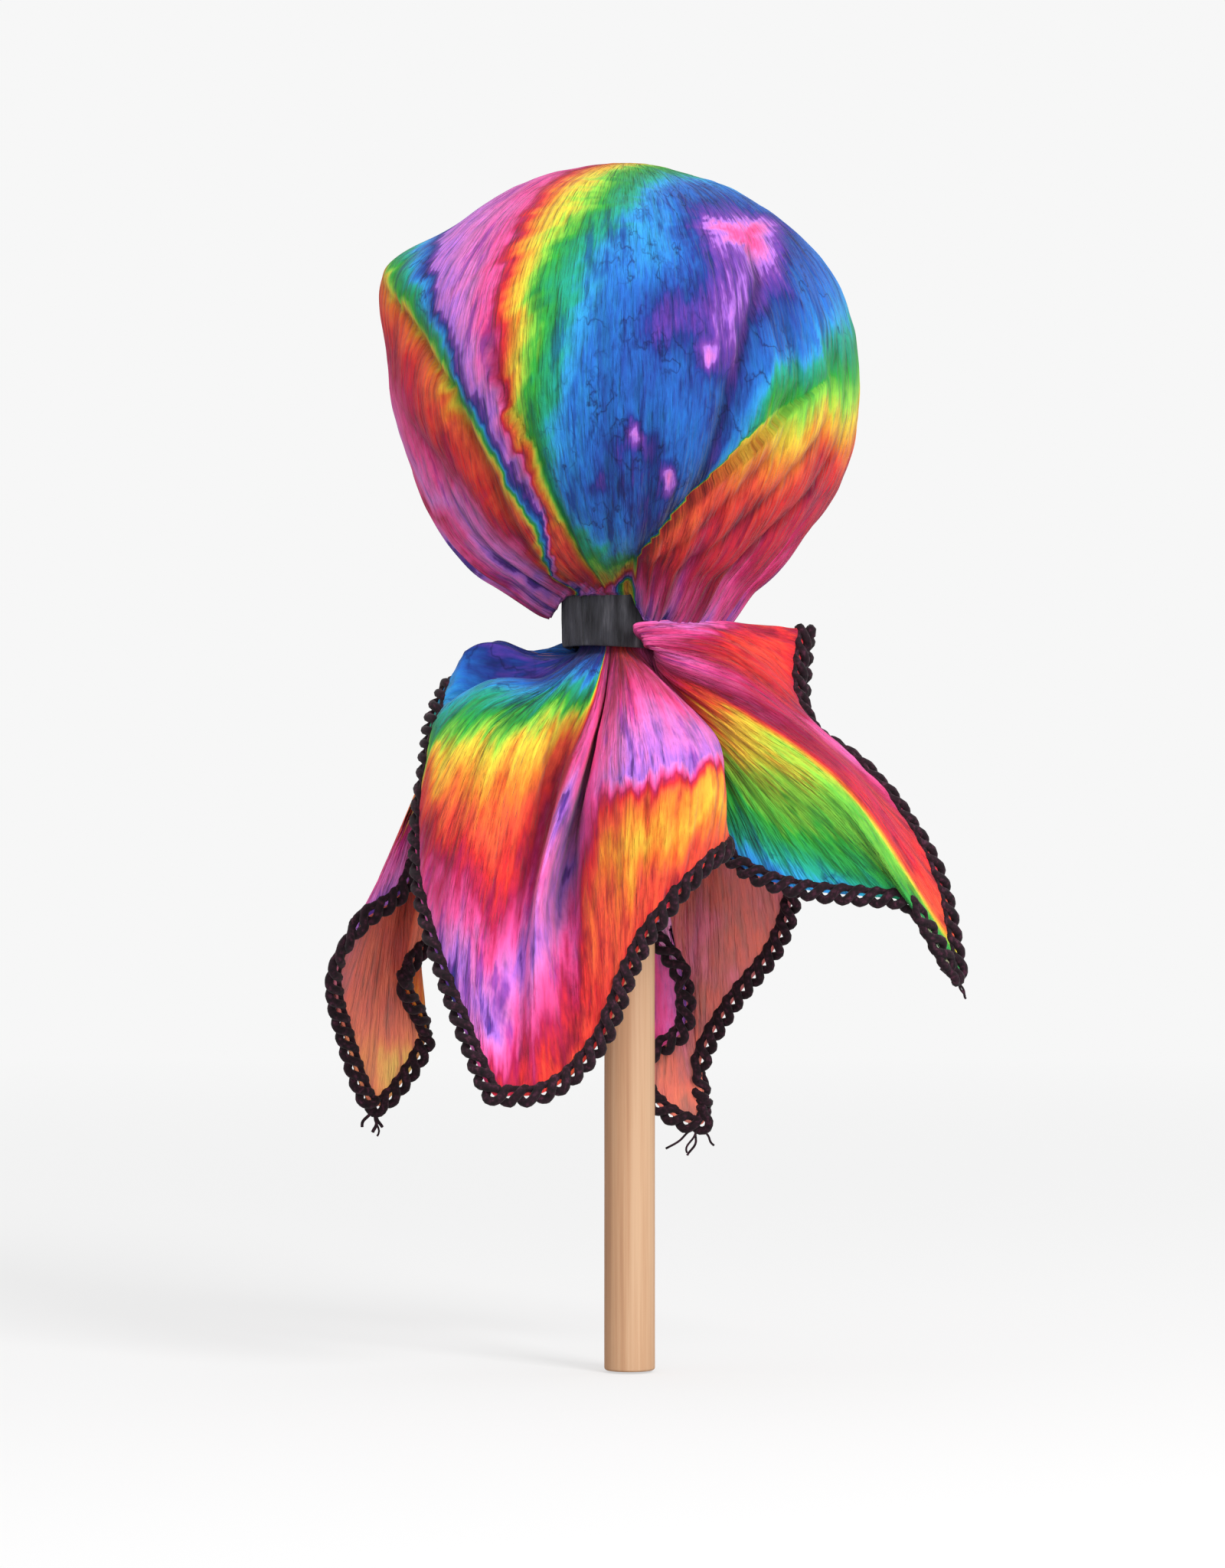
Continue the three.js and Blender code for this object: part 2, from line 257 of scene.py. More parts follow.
class Shader:
    """A material's node tree, with short calls for the nodes used here."""

    def __init__(self, name, roughness, sheen=0.0):
        self.material = bpy.data.materials.new(name)
        self.material.use_nodes = True
        self.tree = self.material.node_tree
        self.surface = self.tree.nodes["Principled BSDF"]
        self.surface.inputs["Roughness"].default_value = roughness
        self.surface.inputs["Specular IOR Level"].default_value = 0.25
        self.surface.inputs["Sheen Weight"].default_value = sheen
        self.surface.inputs["Sheen Roughness"].default_value = 0.5

    def put(self, socket, value):
        if isinstance(value, bpy.types.NodeSocket):
            self.tree.links.new(value, socket)
        else:
            socket.default_value = value

    def node(self, kind, inputs, output=0, **settings):
        made = self.tree.nodes.new("ShaderNode" + kind)
        for key, value in settings.items():
            setattr(made, key, value)
        for key, value in inputs.items():
            self.put(made.inputs[key], value)
        return made.outputs[output]

    def math(self, operation, a, b=0.0, c=0.0):
        return self.node("Math", {0: a, 1: b, 2: c}, operation=operation)

    def attribute(self, name):
        return self.node("Attribute", {}, "Fac", attribute_name=name)

    def place(self, scale, source="uv"):
        """Texture coordinates in metres times scale: the grain layer's, or the object's."""
        if source == "uv":
            base = self.node("UVMap", {}, uv_map="grain")
        else:
            base = self.node("TexCoord", {}, "Object")
        return self.node("VectorMath", {0: base, 1: scale}, operation="MULTIPLY")

    def noise(self, scale, detail=2.0, source="uv", roughness=0.5):
        """Noise from about 0.25 to 0.75, at scale cells per metre on each axis."""
        inputs = {"Vector": self.place(scale, source), "Scale": 1.0, "Detail": detail, "Roughness": roughness}
        return self.node("TexNoise", inputs, "Fac")

    def ramp(self, factor, stops):
        made = self.tree.nodes.new("ShaderNodeValToRGB")
        elements = made.color_ramp.elements
        while len(elements) < len(stops):
            elements.new(0.5)
        for element, (position, _) in zip(elements, stops):
            element.position = position
        for element, (_, colour) in zip(elements, stops):
            element.color = colour
        self.put(made.inputs["Fac"], factor)
        return made.outputs["Color"]

    def mix(self, factor, a, b, blend="MIX"):
        made = self.tree.nodes.new("ShaderNodeMix")
        made.data_type = "RGBA"
        made.blend_type = blend
        for index, value in ((0, factor), (6, a), (7, b)):
            self.put(made.inputs[index], value)
        return made.outputs[2]

    def colour(self, value):
        self.put(self.surface.inputs["Base Color"], value)

    def bump(self, height, distance_mm, strength=1.0, under=None):
        inputs = {"Height": height, "Distance": distance_mm * MM, "Strength": strength}
        if under is not None:
            inputs["Normal"] = under
        normal = self.node("Bump", inputs)
        self.put(self.surface.inputs["Normal"], normal)
        return normal


# Dye colours, in the order in which one ring of dye follows the next. The numbers stored
# on the cloth count along this list and start again after the last.
DYE_STEPS = 8
DYES = [
    (0.0, srgb(182, 116, 228)),
    (0.4, srgb(236, 128, 214)),
    (1.0, srgb(253, 88, 164)),
    (1.5, srgb(192, 34, 86)),
    (2.0, srgb(230, 48, 50)),
    (2.5, srgb(252, 94, 60)),
    (3.0, srgb(253, 134, 48)),
    (3.5, srgb(252, 184, 58)),
    (4.0, srgb(248, 220, 66)),
    (4.5, srgb(154, 226, 72)),
    (5.0, srgb(54, 178, 62)),
    (5.5, srgb(34, 156, 100)),
    (6.0, srgb(36, 172, 148)),
    (6.5, srgb(52, 162, 232)),
    (7.0, srgb(38, 112, 206)),
    (7.4, srgb(34, 56, 148)),
    (7.7, srgb(96, 58, 166)),
    (7.87, srgb(126, 68, 172)),
    (8.0, srgb(182, 116, 228)),
]
# The deeper tone that more of each dye leaves, counted in the same way.
DEEP_DYES = [
    (0.0, srgb(112, 62, 176)),
    (0.8, srgb(150, 52, 160)),
    (1.3, srgb(196, 24, 96)),
    (2.0, srgb(134, 18, 52)),
    (2.8, srgb(228, 66, 40)),
    (3.8, srgb(244, 128, 34)),
    (4.6, srgb(70, 170, 52)),
    (5.2, srgb(20, 104, 72)),
    (6.0, srgb(20, 96, 138)),
    (6.8, srgb(24, 60, 150)),
    (7.4, srgb(20, 26, 92)),
    (8.0, srgb(112, 62, 176)),
]


INSIDE_PALENESS = 0.3  # how far the back of the cloth goes towards undyed cloth
UNDYED = srgb(255, 196, 168)
SETTLED_DYE = srgb(16, 24, 84)


def dye_stops(dyes):
    return [(step / DYE_STEPS, colour) for step, colour in dyes]


def tie_dye_material():
    s = Shader("tie_dye_crinkle_cloth", roughness=0.9, sheen=0.1)
    crinkle = s.noise((560.0, 62.0, 1.0), detail=3.0, roughness=0.6)
    fibres = s.noise((1500.0, 170.0, 1.0), detail=2.0)
    blotches = s.noise((95.0, 60.0, 1.0), detail=3.0)
    # Dye creeps along the cloth's length, so that one colour runs into the next in teeth.
    shift = s.math("MULTIPLY_ADD", s.math("SUBTRACT", crinkle, 0.5), 0.9, s.attribute("dye"))
    shift = s.math("MULTIPLY_ADD", s.math("SUBTRACT", fibres, 0.5), 0.5, shift)
    shift = s.math("MULTIPLY_ADD", s.math("SUBTRACT", blotches, 0.5), 0.7, shift)
    cycle = s.math("FRACT", s.math("DIVIDE", shift, float(DYE_STEPS)))
    dyed = s.ramp(cycle, dye_stops(DYES))
    # Dark dye that settled in the cloth's creases while it was tied, strongest in the blues.
    wisps = s.math("ABSOLUTE", s.math("SUBTRACT", s.noise((120.0, 75.0, 1.0), detail=4.0), 0.5))
    lines = s.ramp(wisps, [(0.0, grey(1)), (0.008, grey(0.5)), (0.022, grey(0))])
    patchy = s.ramp(s.noise((60.0, 60.0, 1.0), detail=4.0), [(0.44, grey(0)), (0.56, grey(1))])
    blues = s.ramp(cycle, [(0.66, grey(0)), (0.8, grey(1)), (0.93, grey(1)), (1.0, grey(0))])
    amount = s.math("MULTIPLY_ADD", blues, 0.7, 0.1)
    settled = s.math("MULTIPLY", s.math("MULTIPLY", lines, patchy), amount)
    dyed = s.mix(settled, dyed, SETTLED_DYE)
    # Streaks where more dye soaked in, each a deeper tone of the dye around it.
    soaked = s.noise((240.0, 42.0, 1.0), detail=4.0, roughness=0.6)
    streaks = s.ramp(soaked, [(0.54, grey(0)), (0.64, grey(0.8))])
    dyed = s.mix(streaks, dyed, s.ramp(cycle, dye_stops(DEEP_DYES)))
    # Crinkles' furrows are painted darker, for the shade in them and the dye they hold, and the back of the
    # cloth is paler.
    furrow_shade_and_dye = s.ramp(crinkle, [(0.3, grey(0.5)), (0.47, grey(0.94)), (0.56, grey(1)), (0.72, grey(1))])
    dyed = s.mix(0.85, dyed, furrow_shade_and_dye, "MULTIPLY")
    soak = s.noise((260.0, 150.0, 1.0), detail=5.0, roughness=0.7)
    dyed = s.mix(0.6, dyed, s.ramp(soak, [(0.32, grey(0.62)), (0.52, grey(1))]), "MULTIPLY")
    pale = s.math("MULTIPLY", s.attribute("inside"), INSIDE_PALENESS)
    dyed = s.mix(pale, dyed, UNDYED)
    # Painted light and shade, worked out on each mesh, multiplies the colour.
    shade = s.node("CombineColor", {channel: s.attribute("shade") for channel in range(3)})
    s.colour(s.mix(1.0, dyed, shade, "MULTIPLY"))
    weave = s.noise((2600.0, 2600.0, 1.0), detail=1.0)
    first = s.bump(crinkle, 1.6, 1.0)
    second = s.bump(fibres, 0.35, 0.8, under=first)
    s.bump(weave, 0.12, 0.4, under=second)
    return s.material


def thread_material():
    s = Shader("overlock_thread", roughness=0.85, sheen=0.08)
    tone = s.noise((900.0, 900.0, 900.0), detail=3.0, source="object")
    s.colour(s.ramp(tone, [(0.3, srgb(12, 4, 9)), (0.55, srgb(38, 15, 27)), (0.75, srgb(80, 38, 58))]))
    s.bump(s.noise((3000.0, 3000.0, 1200.0), detail=2.0, source="object"), 0.1, 0.5)
    return s.material


def band_material():
    s = Shader("woven_elastic", roughness=0.8, sheen=0.2)
    tone = s.noise((500.0, 500.0, 90.0), detail=3.0, source="object")
    s.colour(s.ramp(tone, [(0.3, srgb(26, 26, 30)), (0.55, srgb(62, 62, 68)), (0.75, srgb(98, 98, 104))]))
    cords = s.node("TexWave", {"Vector": s.place((1.0, 1.0, 1.0)), "Scale": 900.0, "Distortion": 1.5})
    s.bump(cords, 0.2, 0.6)
    return s.material


def wood_material():
    s = Shader("bare_dowel_wood", roughness=0.62)
    grain = s.noise((900.0, 900.0, 14.0), detail=5.0, source="object", roughness=0.6)
    broad = s.noise((130.0, 130.0, 5.0), detail=2.0, source="object")
    tone = s.math("MULTIPLY_ADD", broad, 0.6, s.math("MULTIPLY", grain, 0.45))
    dark, middle, light = srgb(172, 126, 94), srgb(194, 150, 115), srgb(208, 170, 136)
    s.colour(s.ramp(tone, [(0.36, dark), (0.5, middle), (0.64, light)]))
    s.bump(grain, 0.12, 0.5)
    return s.material


def foam_material():
    s = Shader("foam_core", roughness=0.95)
    cells = s.noise((1500.0, 1500.0, 1500.0), detail=2.0, source="object")
    s.colour(s.ramp(cells, [(0.35, srgb(214, 208, 190)), (0.6, srgb(243, 240, 228))]))
    s.bump(cells, 0.4, 0.8)
    return s.material


def batting_material():
    s = Shader("polyester_batting", roughness=1.0, sheen=0.4)
    fluff = s.noise((380.0, 380.0, 380.0), detail=6.0, source="object", roughness=0.7)
    s.colour(s.ramp(fluff, [(0.3, srgb(226, 226, 226)), (0.6, srgb(250, 250, 248))]))
    s.bump(fluff, 1.2, 0.8)
    return s.material


cloth = tie_dye_material()
thread = thread_material()

# ---------------------------------------------------------------- head cover

# The head's reach from its centre, in mm, at these latitudes, on four sides of the wand.
LATITUDES = [-75, -60, -40, -20, 0, 25, 50, 75, 90]
HEAD_SIDES = {
    0: [61.5, 60.0, 57.2, 58.2, 58.0, 58.3, 56.6, 56.3, 56.2],
    90: [58.0, 58.5, 58.5, 58.8, 59.0, 58.5, 57.5, 56.5, 56.2],
    180: [60.0, 59.5, 59.6, 58.0, 59.5, 60.0, 58.8, 57.5, 56.2],
    270: [55.8, 56.5, 57.5, 58.5, 59.0, 58.5, 57.5, 56.5, 56.2],
}
HEAD_COLUMNS = 456
HEAD_ROWS = 176
NECK_LATITUDE = -70
FOLD_SPHERE = 58.5


def front_fold(points, left, right, colour_left=0.0, colour_right=0.0):
    """A fold seen on the front of the head. points are (x, z) from the head's centre, from
    the neck up. left and right are each side's height and width beside the crease."""
    points = np.array(points, float)
    depth = np.sqrt(np.maximum(FOLD_SPHERE**2 - (points**2).sum(1), 1.0))
    latitude = np.degrees(np.arctan2(points[:, 1], np.hypot(points[:, 0], depth)))
    azimuth = np.degrees(np.arctan2(-depth, points[:, 0])) % 360
    return latitude, azimuth, left, right, colour_left, colour_right


FRONT_FOLDS = [
    front_fold([(-19.7, -50), (-35.1, -25), (-44.7, -2), (-53.4, 17), (-59, 29)], (-4.5, 5), (-4.5, 6)),
    front_fold([(-20, -52), (-34, -40), (-43.4, -27.5), (-57, -1.6)], (-1.6, 4), (-1.6, 4)),
    front_fold([(-12, -49), (-16.8, -36.5), (-24, -18), (-31.5, -5), (-34, 6), (-35.1, 18)],
               (1.6, 5), (-2.2, 4), -2.8, 0.0),
    front_fold([(-13, -47), (-16.6, -38), (-26, -26), (-29, -12)], (-1.6, 3), (-1.0, 3)),
    front_fold([(-4.3, -50), (-5, -10), (-8.2, 36)], (-0.9, 4), (-0.9, 4)),
    front_fold([(3, -48), (4, -40), (5.1, -22), (5, -4)], (-1.4, 3.5), (-1.4, 3.5)),
    front_fold([(4, -46), (16.6, -31), (19.1, -22.7), (24.9, -3), (29, 11.7), (32.8, 25),
                (31, 31), (24.9, 38)], (-3.4, 4), (-3.0, 6), 0.0, 0.6),
    front_fold([(1.5, -49), (11, -37), (20.5, -27), (33, -15), (41.5, -6), (51, 2)],
               (-3.2, 5), (1.0, 5)),
    front_fold([(6, -49), (20, -37), (33, -22), (43, -8)], (-1.4, 3), (-1.2, 3)),
    front_fold([(12, -50), (25, -40), (40, -24), (52, -6)], (-1.8, 4), (-1.6, 4)),
    front_fold([(20, -51), (31, -43), (46, -28), (55, -8)], (-2.4, 4), (-1.6, 4)),
    front_fold([(-28, -49), (-42.8, -33), (-52, -14)], (-2.0, 5), (-2.0, 5)),
    front_fold([(39, -6), (42.8, 0), (39, 13), (38, 24)], (-1.4, 4), (-1.0, 4)),
    front_fold([(49, -12), (51, 4), (50, 16)], (-0.9, 3), (-0.9, 3)),
    front_fold([(53, -8), (54.5, 6), (52.5, 20)], (-0.9, 2.5), (-0.9, 2.5)),
]
BACK_FOLDS = 15
DEEPEST = 6.5  # no crease goes further in than this
CREASE_WIDTH = 1.5  # of its line of painted shade
DYE_CARRY = 12  # how far from a fold its shift of the dye is felt


def back_folds():
    """Pleats round the back of the head, like those on its front."""
    random = np.random.default_rng(7)
    folds = []
    for index in range(BACK_FOLDS):
        azimuth = 2 + (index + random.uniform(0.2, 0.8)) * 172 / BACK_FOLDS
        top = random.uniform(-15, 55)
        lean = random.uniform(-9, 9)
        latitude = np.array([-64, -30, (top - 30) / 2, top])
        path = azimuth + lean * np.array([0, 0.35, 0.7, 1.0])
        depth = random.uniform(1.0, 3.6)
        width = random.uniform(3.5, 6)
        shallow = -depth * random.uniform(0.2, 1)
        folds.append((latitude, path, (-depth, width), (shallow, width), 0.0, 0.0))
    return folds


def fold_effects(azimuth, latitude):
    """What the folds give each point of the head: height in mm, shift of the dye, and how
    much painted shade lies along the crease, from 0 to 1."""
    height = np.zeros_like(azimuth)
    dye = np.zeros_like(azimuth)
    dark = np.zeros_like(azimuth)
    for path_latitude, path_azimuth, left, right, dye_left, dye_right in FRONT_FOLDS + back_folds():
        crease = np.interp(latitude, path_latitude, path_azimuth)
        across = (azimuth - crease + 180) % 360 - 180
        across = np.radians(across) * FOLD_SPHERE * np.cos(np.radians(latitude))
        low, high = path_latitude[0], path_latitude[-1]
        fade = smoothstep(low - 22, low - 4, latitude) * (1 - smoothstep(high - 14, high + 2, latitude))
        side = smoothstep(-0.9, 0.9, across)
        lifted_left = left[0] * np.exp(-np.abs(across) / left[1])
        lifted_right = right[0] * np.exp(-np.abs(across) / right[1])
        height += fade * ((1 - side) * lifted_left + side * lifted_right)
        carry = np.exp(-np.abs(across) / DYE_CARRY)
        taper = fade * (1 - smoothstep(low + 5, high, latitude))
        dye += taper * carry * ((1 - side) * dye_left + side * dye_right)
        # Painted shade: a dark line along the crease, darker for deeper folds.
        strength = min(1.0, 0.2 + 0.2 * max(-left[0], -right[0], abs(left[0] - right[0])))
        dark = np.maximum(dark, fade * strength * np.exp(-((across / CREASE_WIDTH) ** 2)))
    height = np.where(height < 0, -DEEPEST * np.tanh(-height / DEEPEST), height)
    return height, dye, dark


# How the dye rings lie on the head. They spread from this direction. Each row is one way
# round it (0 is right, 90 up) and how many degrees out each of the dyes in DYE_ORDER lies,
# but for orange, which lies between green and red.
DYE_CENTRE = unit(np.array([0.484, -0.61, 0.62]))
DYE_ORDER = [9, 8, 7.7, 7.2, 6.9, 6, 5, 4, 3, 2, 1.5, 1, 0, -3, -5, -6, -6.8, -7.6, -6.5, -11]
DYE_REACH = {
    0: (1, 7, 12, 22, 36, 46, 52, 60, 65, 70, 76, 80, 90, 98, 108, 116, 128, 138, 165),
    28: (5, 16, 22, 32, 38, 44, 50, 58, 63, 67, 70, 74, 86, 96, 108, 116, 128, 138, 165),
    45: (1, 5, 9, 16, 26, 34, 40, 46, 51, 54, 56, 58, 82, 96, 108, 116, 128, 138, 165),
    100: (1, 4, 7, 14, 22, 29, 36, 42, 47, 50, 52, 54, 82, 97, 107, 116, 128, 138, 165),
    130: (1, 5, 8, 16, 22, 28, 36, 43, 48, 51, 53, 55, 81, 95, 103, 112, 125, 138, 165),
    150: (3, 8, 10, 16, 24, 32, 38, 46, 52, 54, 56, 58, 82, 93, 104, 110, 124, 138, 165),
    165: (5, 10, 13, 20, 30, 38, 45, 53, 58, 60, 62, 64, 82, 90, 100, 112, 124, 138, 165),
    180: (3, 6, 11, 24, 36, 45, 55, 60, 65, 67, 69, 71, 83, 88, 100, 116, 126, 136, 165),
    190: (3, 8, 12, 24, 40, 50, 58, 67, 71, 73, 75, 77, 85, 89.5, 101, 114, 124, 134, 165),
    200: (4, 9, 16, 30, 50, 60, 72, 78, 80, 81, 82, 83.5, 88.5, 92, 106, 110, 117, 126, 160),
    210: (3, 7, 18, 40, 66, 76, 81, 83, 84.5, 85.5, 87, 89, 93, 95.5, 108, 113, 122, 130, 160),
    222: (2, 5, 24, 44, 86, 89, 91, 92.5, 93, 94, 94.5, 95.5, 97.5, 101, 111, 119, 127, 134, 165),
    236: (2, 4, 34, 44, 92, 98, 104, 115, 116, 117, 118, 119, 120, 121, 123, 126, 131, 138, 165),
    250: (2, 4, 38, 48, 98, 103, 107, 116, 118, 119, 120, 121, 122, 124, 127, 130, 134, 140, 165),
    256: (2, 10, 18, 28, 50, 62, 74, 92, 97, 99, 101, 103, 106, 110, 118, 125, 132, 138, 165),
    268: (2, 8, 13, 22, 32, 37, 44, 60, 66, 70, 76, 82, 100, 110, 118, 125, 132, 138, 165),
    269: (2, 8, 13, 21, 30, 36, 41, 50, 58, 70, 96, 104, 110, 126, 132, 137, 141, 145, 170),
    280: (2, 7, 11, 20, 30, 37, 43, 52, 60, 70, 94, 102, 109, 124, 132, 137, 141, 145, 170),
    295: (4, 9, 12, 18, 27, 33, 41, 47, 53, 60, 84, 96, 107, 122, 130, 136, 141, 146, 170),
    310: (4, 9, 12, 18, 27, 34, 44, 57, 66, 72, 86, 94, 105, 118, 128, 134, 140, 146, 170),
    325: (3, 9, 12, 18, 30, 38, 50, 60, 69, 74, 84, 90, 102, 112, 122, 130, 137, 144, 168),
    345: (3, 8, 12, 20, 34, 44, 52, 61, 67, 72, 79, 84, 94, 104, 114, 123, 132, 140, 166),
}
ORANGE = DYE_ORDER.index(-5)
ORANGE_SHARE = 0.4  # of the way from green to red, to the nearest half degree
RING_WANDER = 1.6
RING_TEETH = 2.8
# The rings jump where one fold of cloth lies over the next: the fold's x at each z, from
# the head's centre, and the rows of DYE_REACH that meet there.
FOLD_JUMP_Z = (-54, -48, -41.5, -32, -23, -16.4, -10, -6, 8)
FOLD_JUMP_X = (1.4, 2.1, 7, 15.1, 23.2, 28, 34.5, 41, 58)
JUMP_ROWS = (268, 269)
JUMP_TURNS = (225, 300)  # the ways round between which the fold lies
# Spots of stronger dye inside the blue: place on the front (x, z) from the head's
# centre, radius, and how many steps the dye moves.
DYE_SPOTS = [(1, -15, 3.2, 1.1), (9.5, -26, 3.0, 1.2), (19, 5, 3.4, 0.75), (23, 14, 5, 0.25),
             (-8, -27, 3, 0.5), (-3, -18, 4, 0.3), (5, -19, 4.5, 0.4), (32, 38, 6, 0.15),
             (6, 33, 10, -0.5), (16, 26, 8, -0.35), (11, 15, 9, 0.25), (-8, 40, 9, -0.3),
             (-4, -31, 11, 0.3), (7, -36, 10, 0.35)]


def dye_reaches(rows):
    """How far out every dye of DYE_ORDER lies, for each of the rows."""
    reach = np.array([DYE_REACH[row] for row in rows], float)
    green, red = reach[:, ORANGE - 1], reach[:, ORANGE]
    orange = np.round((green + ORANGE_SHARE * (red - green)) * 2) / 2
    return np.insert(reach, ORANGE, orange, axis=1)


def head_dye(direction):
    """The dye at each direction from the head's centre."""
    up = unit(np.array([0, 0, 1]) - DYE_CENTRE[2] * DYE_CENTRE)
    right = np.cross(-DYE_CENTRE, up)
    degrees = np.degrees(np.arccos(np.clip(direction @ DYE_CENTRE, -1, 1)))
    turn = np.degrees(np.arctan2(direction @ up, direction @ right)) % 360
    way = np.radians(turn)
    line = np.interp(direction[..., 2] * FOLD_SPHERE, FOLD_JUMP_Z, FOLD_JUMP_X)
    beyond = direction[..., 0] * FOLD_SPHERE > line
    low, high = JUMP_ROWS
    near = (turn > JUMP_TURNS[0]) & (turn < JUMP_TURNS[1]) & (direction[..., 1] < 0)
    turn = np.where(near & beyond, np.maximum(turn, high), turn)
    turn = np.where(near & ~beyond, np.minimum(turn, low), turn)
    ways = np.stack([np.cos(way) * 20, np.sin(way) * 20, degrees / 14], -1)
    # Each ring wanders, and ends in teeth that point out from the centre.
    ring = degrees + RING_WANDER * layered_noise(direction * 4.0, 11)
    ring = ring + RING_TEETH * layered_noise(ways, 12)
    rows = sorted(DYE_REACH)
    reach = dye_reaches(rows + rows[:1])
    rows = np.array(rows + [360 + rows[0]], float)
    below = np.clip(np.searchsorted(rows, turn, side="right") - 1, 0, len(rows) - 2)
    share = (turn - rows[below]) / (rows[below + 1] - rows[below])
    edges = reach[below] * (1 - share)[..., None] + reach[below + 1] * share[..., None]
    dye = np.full(degrees.shape, float(DYE_ORDER[0]))
    for k in range(len(DYE_ORDER) - 1):
        within = np.clip((ring - edges[..., k]) / (edges[..., k + 1] - edges[..., k]), 0, 1)
        dye += (DYE_ORDER[k + 1] - DYE_ORDER[k]) * within
    flat = direction[..., [0, 2]] * FOLD_SPHERE
    flat = flat + 2.2 * np.stack([layered_noise(flat / 4, 13), layered_noise(flat / 4, 14)], -1)
    for x, z, radius, steps in DYE_SPOTS:
        away = np.hypot(flat[..., 0] - x, (flat[..., 1] - z) * 0.75)
        dye += steps * (1 - smoothstep(0, radius * 1.3, away)) * (direction[..., 1] < 0)
    return dye


# The bunched corner of cloth that stands out at the head's left.
POINT_PLACE = (184, 25)  # azimuth and latitude
POINT_WIDTH = (17, 12.5)
POINT_HEIGHT = 8.5


def head_radius(azimuth, latitude):
    radius = np.zeros_like(azimuth)
    for side, reach in HEAD_SIDES.items():
        share = np.maximum(0, np.cos(np.radians(azimuth - side))) ** 2
        radius += share * np.interp(latitude, LATITUDES, reach)
    around = ((azimuth - POINT_PLACE[0] + 180) % 360 - 180) / POINT_WIDTH[0]
    above = (latitude - POINT_PLACE[1]) / POINT_WIDTH[1]
    return radius + POINT_HEIGHT * np.exp(-(above**2)) * np.exp(-(around**2))


# Rows of the neck from inside the band outwards: radius as a share of the band's, height
# over the band's top in mm, how much of the rim's own place the row keeps, and how much
# of the sag beside the band it takes on top of the rim's.
NECK_TURN = [
    (0.78, -10.0, 0.0, 0.0),
    (0.86, -4.0, 0.0, 0.0),
    (0.90, 0.4, 0.0, 0.0),
    (1.00, 1.4, 0.1, 0.0),
    (1.12, 1.0, 0.35, 0.5),
    (1.20, 0.4, 0.7, 0.35),
    (1.25, 0.0, 0.9, 0.1),
]
NECK_PLEATS = 0.5


def cover_neck(rim, circle, pleats, sag):
    """Rows in which the cloth turns in over the band and runs down inside it."""
    rows = []
    for reach, above, keep, sagging in NECK_TURN:
        flat = circle * (reach * BAND_RADIUS + NECK_PLEATS * pleats * keep)
        row = np.concatenate([flat, np.full((HEAD_COLUMNS, 1), band_high[2] + above)], -1)
        row = row * (1 - keep) + rim * keep
        row[:, 2] -= sag * sagging
        rows.append(row)
    return np.stack(rows, 1)


def build_head_cover():
    azimuth = np.arange(HEAD_COLUMNS) * 360 / HEAD_COLUMNS
    share = np.arange(HEAD_ROWS) / HEAD_ROWS
    latitude = NECK_LATITUDE + (90 - NECK_LATITUDE) * share**0.94
    azimuth, latitude = np.meshgrid(azimuth, latitude, indexing="ij")
    radius = head_radius(azimuth, latitude)
    height, fold_dye, dark = fold_effects(azimuth, latitude)
    turn = np.radians(azimuth)
    rise = np.radians(latitude)
    direction = np.stack([np.cos(turn) * np.cos(rise), np.sin(turn) * np.cos(rise), np.sin(rise)], -1)
    circle = np.stack([np.cos(turn), np.sin(turn)], -1)
    gather = 1 - smoothstep(-62, -22, latitude)
    pleats = layered_noise(circle * 9.0, 31) + 0.6 * noise(circle * 17.0, 32)
    radius = radius + height + gather * 1.5 * pleats
    long_creases = noise(np.concatenate([circle * 12, latitude[..., None] / 40], -1), 41)
    fine = noise(np.concatenate([circle * 34, latitude[..., None] / 16], -1), 42)
    slack = np.cos(rise)
    radius += slack * (0.5 * long_creases + 0.22 * fine) + 0.7 * layered_noise(direction * 4, 43)
    points = HEAD_CENTRE + direction * radius[..., None]
    # Beside the band the gathered cloth sags down over its outside.
    around = azimuth[:, :1]
    sag = 7 * smoothstep(266, 284, around) * (1 - smoothstep(346, 362, around))
    sag = sag + 2 * smoothstep(150, 172, around) * (1 - smoothstep(198, 210, around))
    points[..., 2] -= sag * (1 - smoothstep(-70, -56, latitude))
    dye = head_dye(direction) + fold_dye + 0.5 * gather * pleats
    # Painted light and shade: valleys darker and ridges a little lighter, dark lines along the creases, and
    # darker towards the neck, under the head.
    shade = (1 + 0.07 * np.clip(height, -5, 1)) * (1 - 0.66 * dark)
    shade *= 1 - 0.35 * (1 - smoothstep(-69, -50, latitude))
    neck = cover_neck(points[:, 0], circle[:, 0], gather[:, 0, None] * pleats[:, 0, None], sag[:, 0])
    points = np.concatenate([neck, points], 1)
    extra = len(NECK_TURN)
    dye, shade = (np.concatenate([np.repeat(v[:, :1], extra, 1), v], 1) for v in (dye, shade))
    grain = np.stack([turn * FOLD_SPHERE, rise * FOLD_SPHERE], -1)
    grain = np.concatenate([np.repeat(grain[:, :1], extra, 1), grain], 1)
    grain[:, :extra, 1] -= np.arange(extra, 0, -1) * 1.5
    return head_shell(points, dye, shade, grain)


LINING_DROP = 1.3  # from the cover's face to its lining
LINING_STEP = 9  # rows of the cover for each row of the lining
CROWN_GRAIN = (0, 92)  # texture place of the middle of the crown, in mm


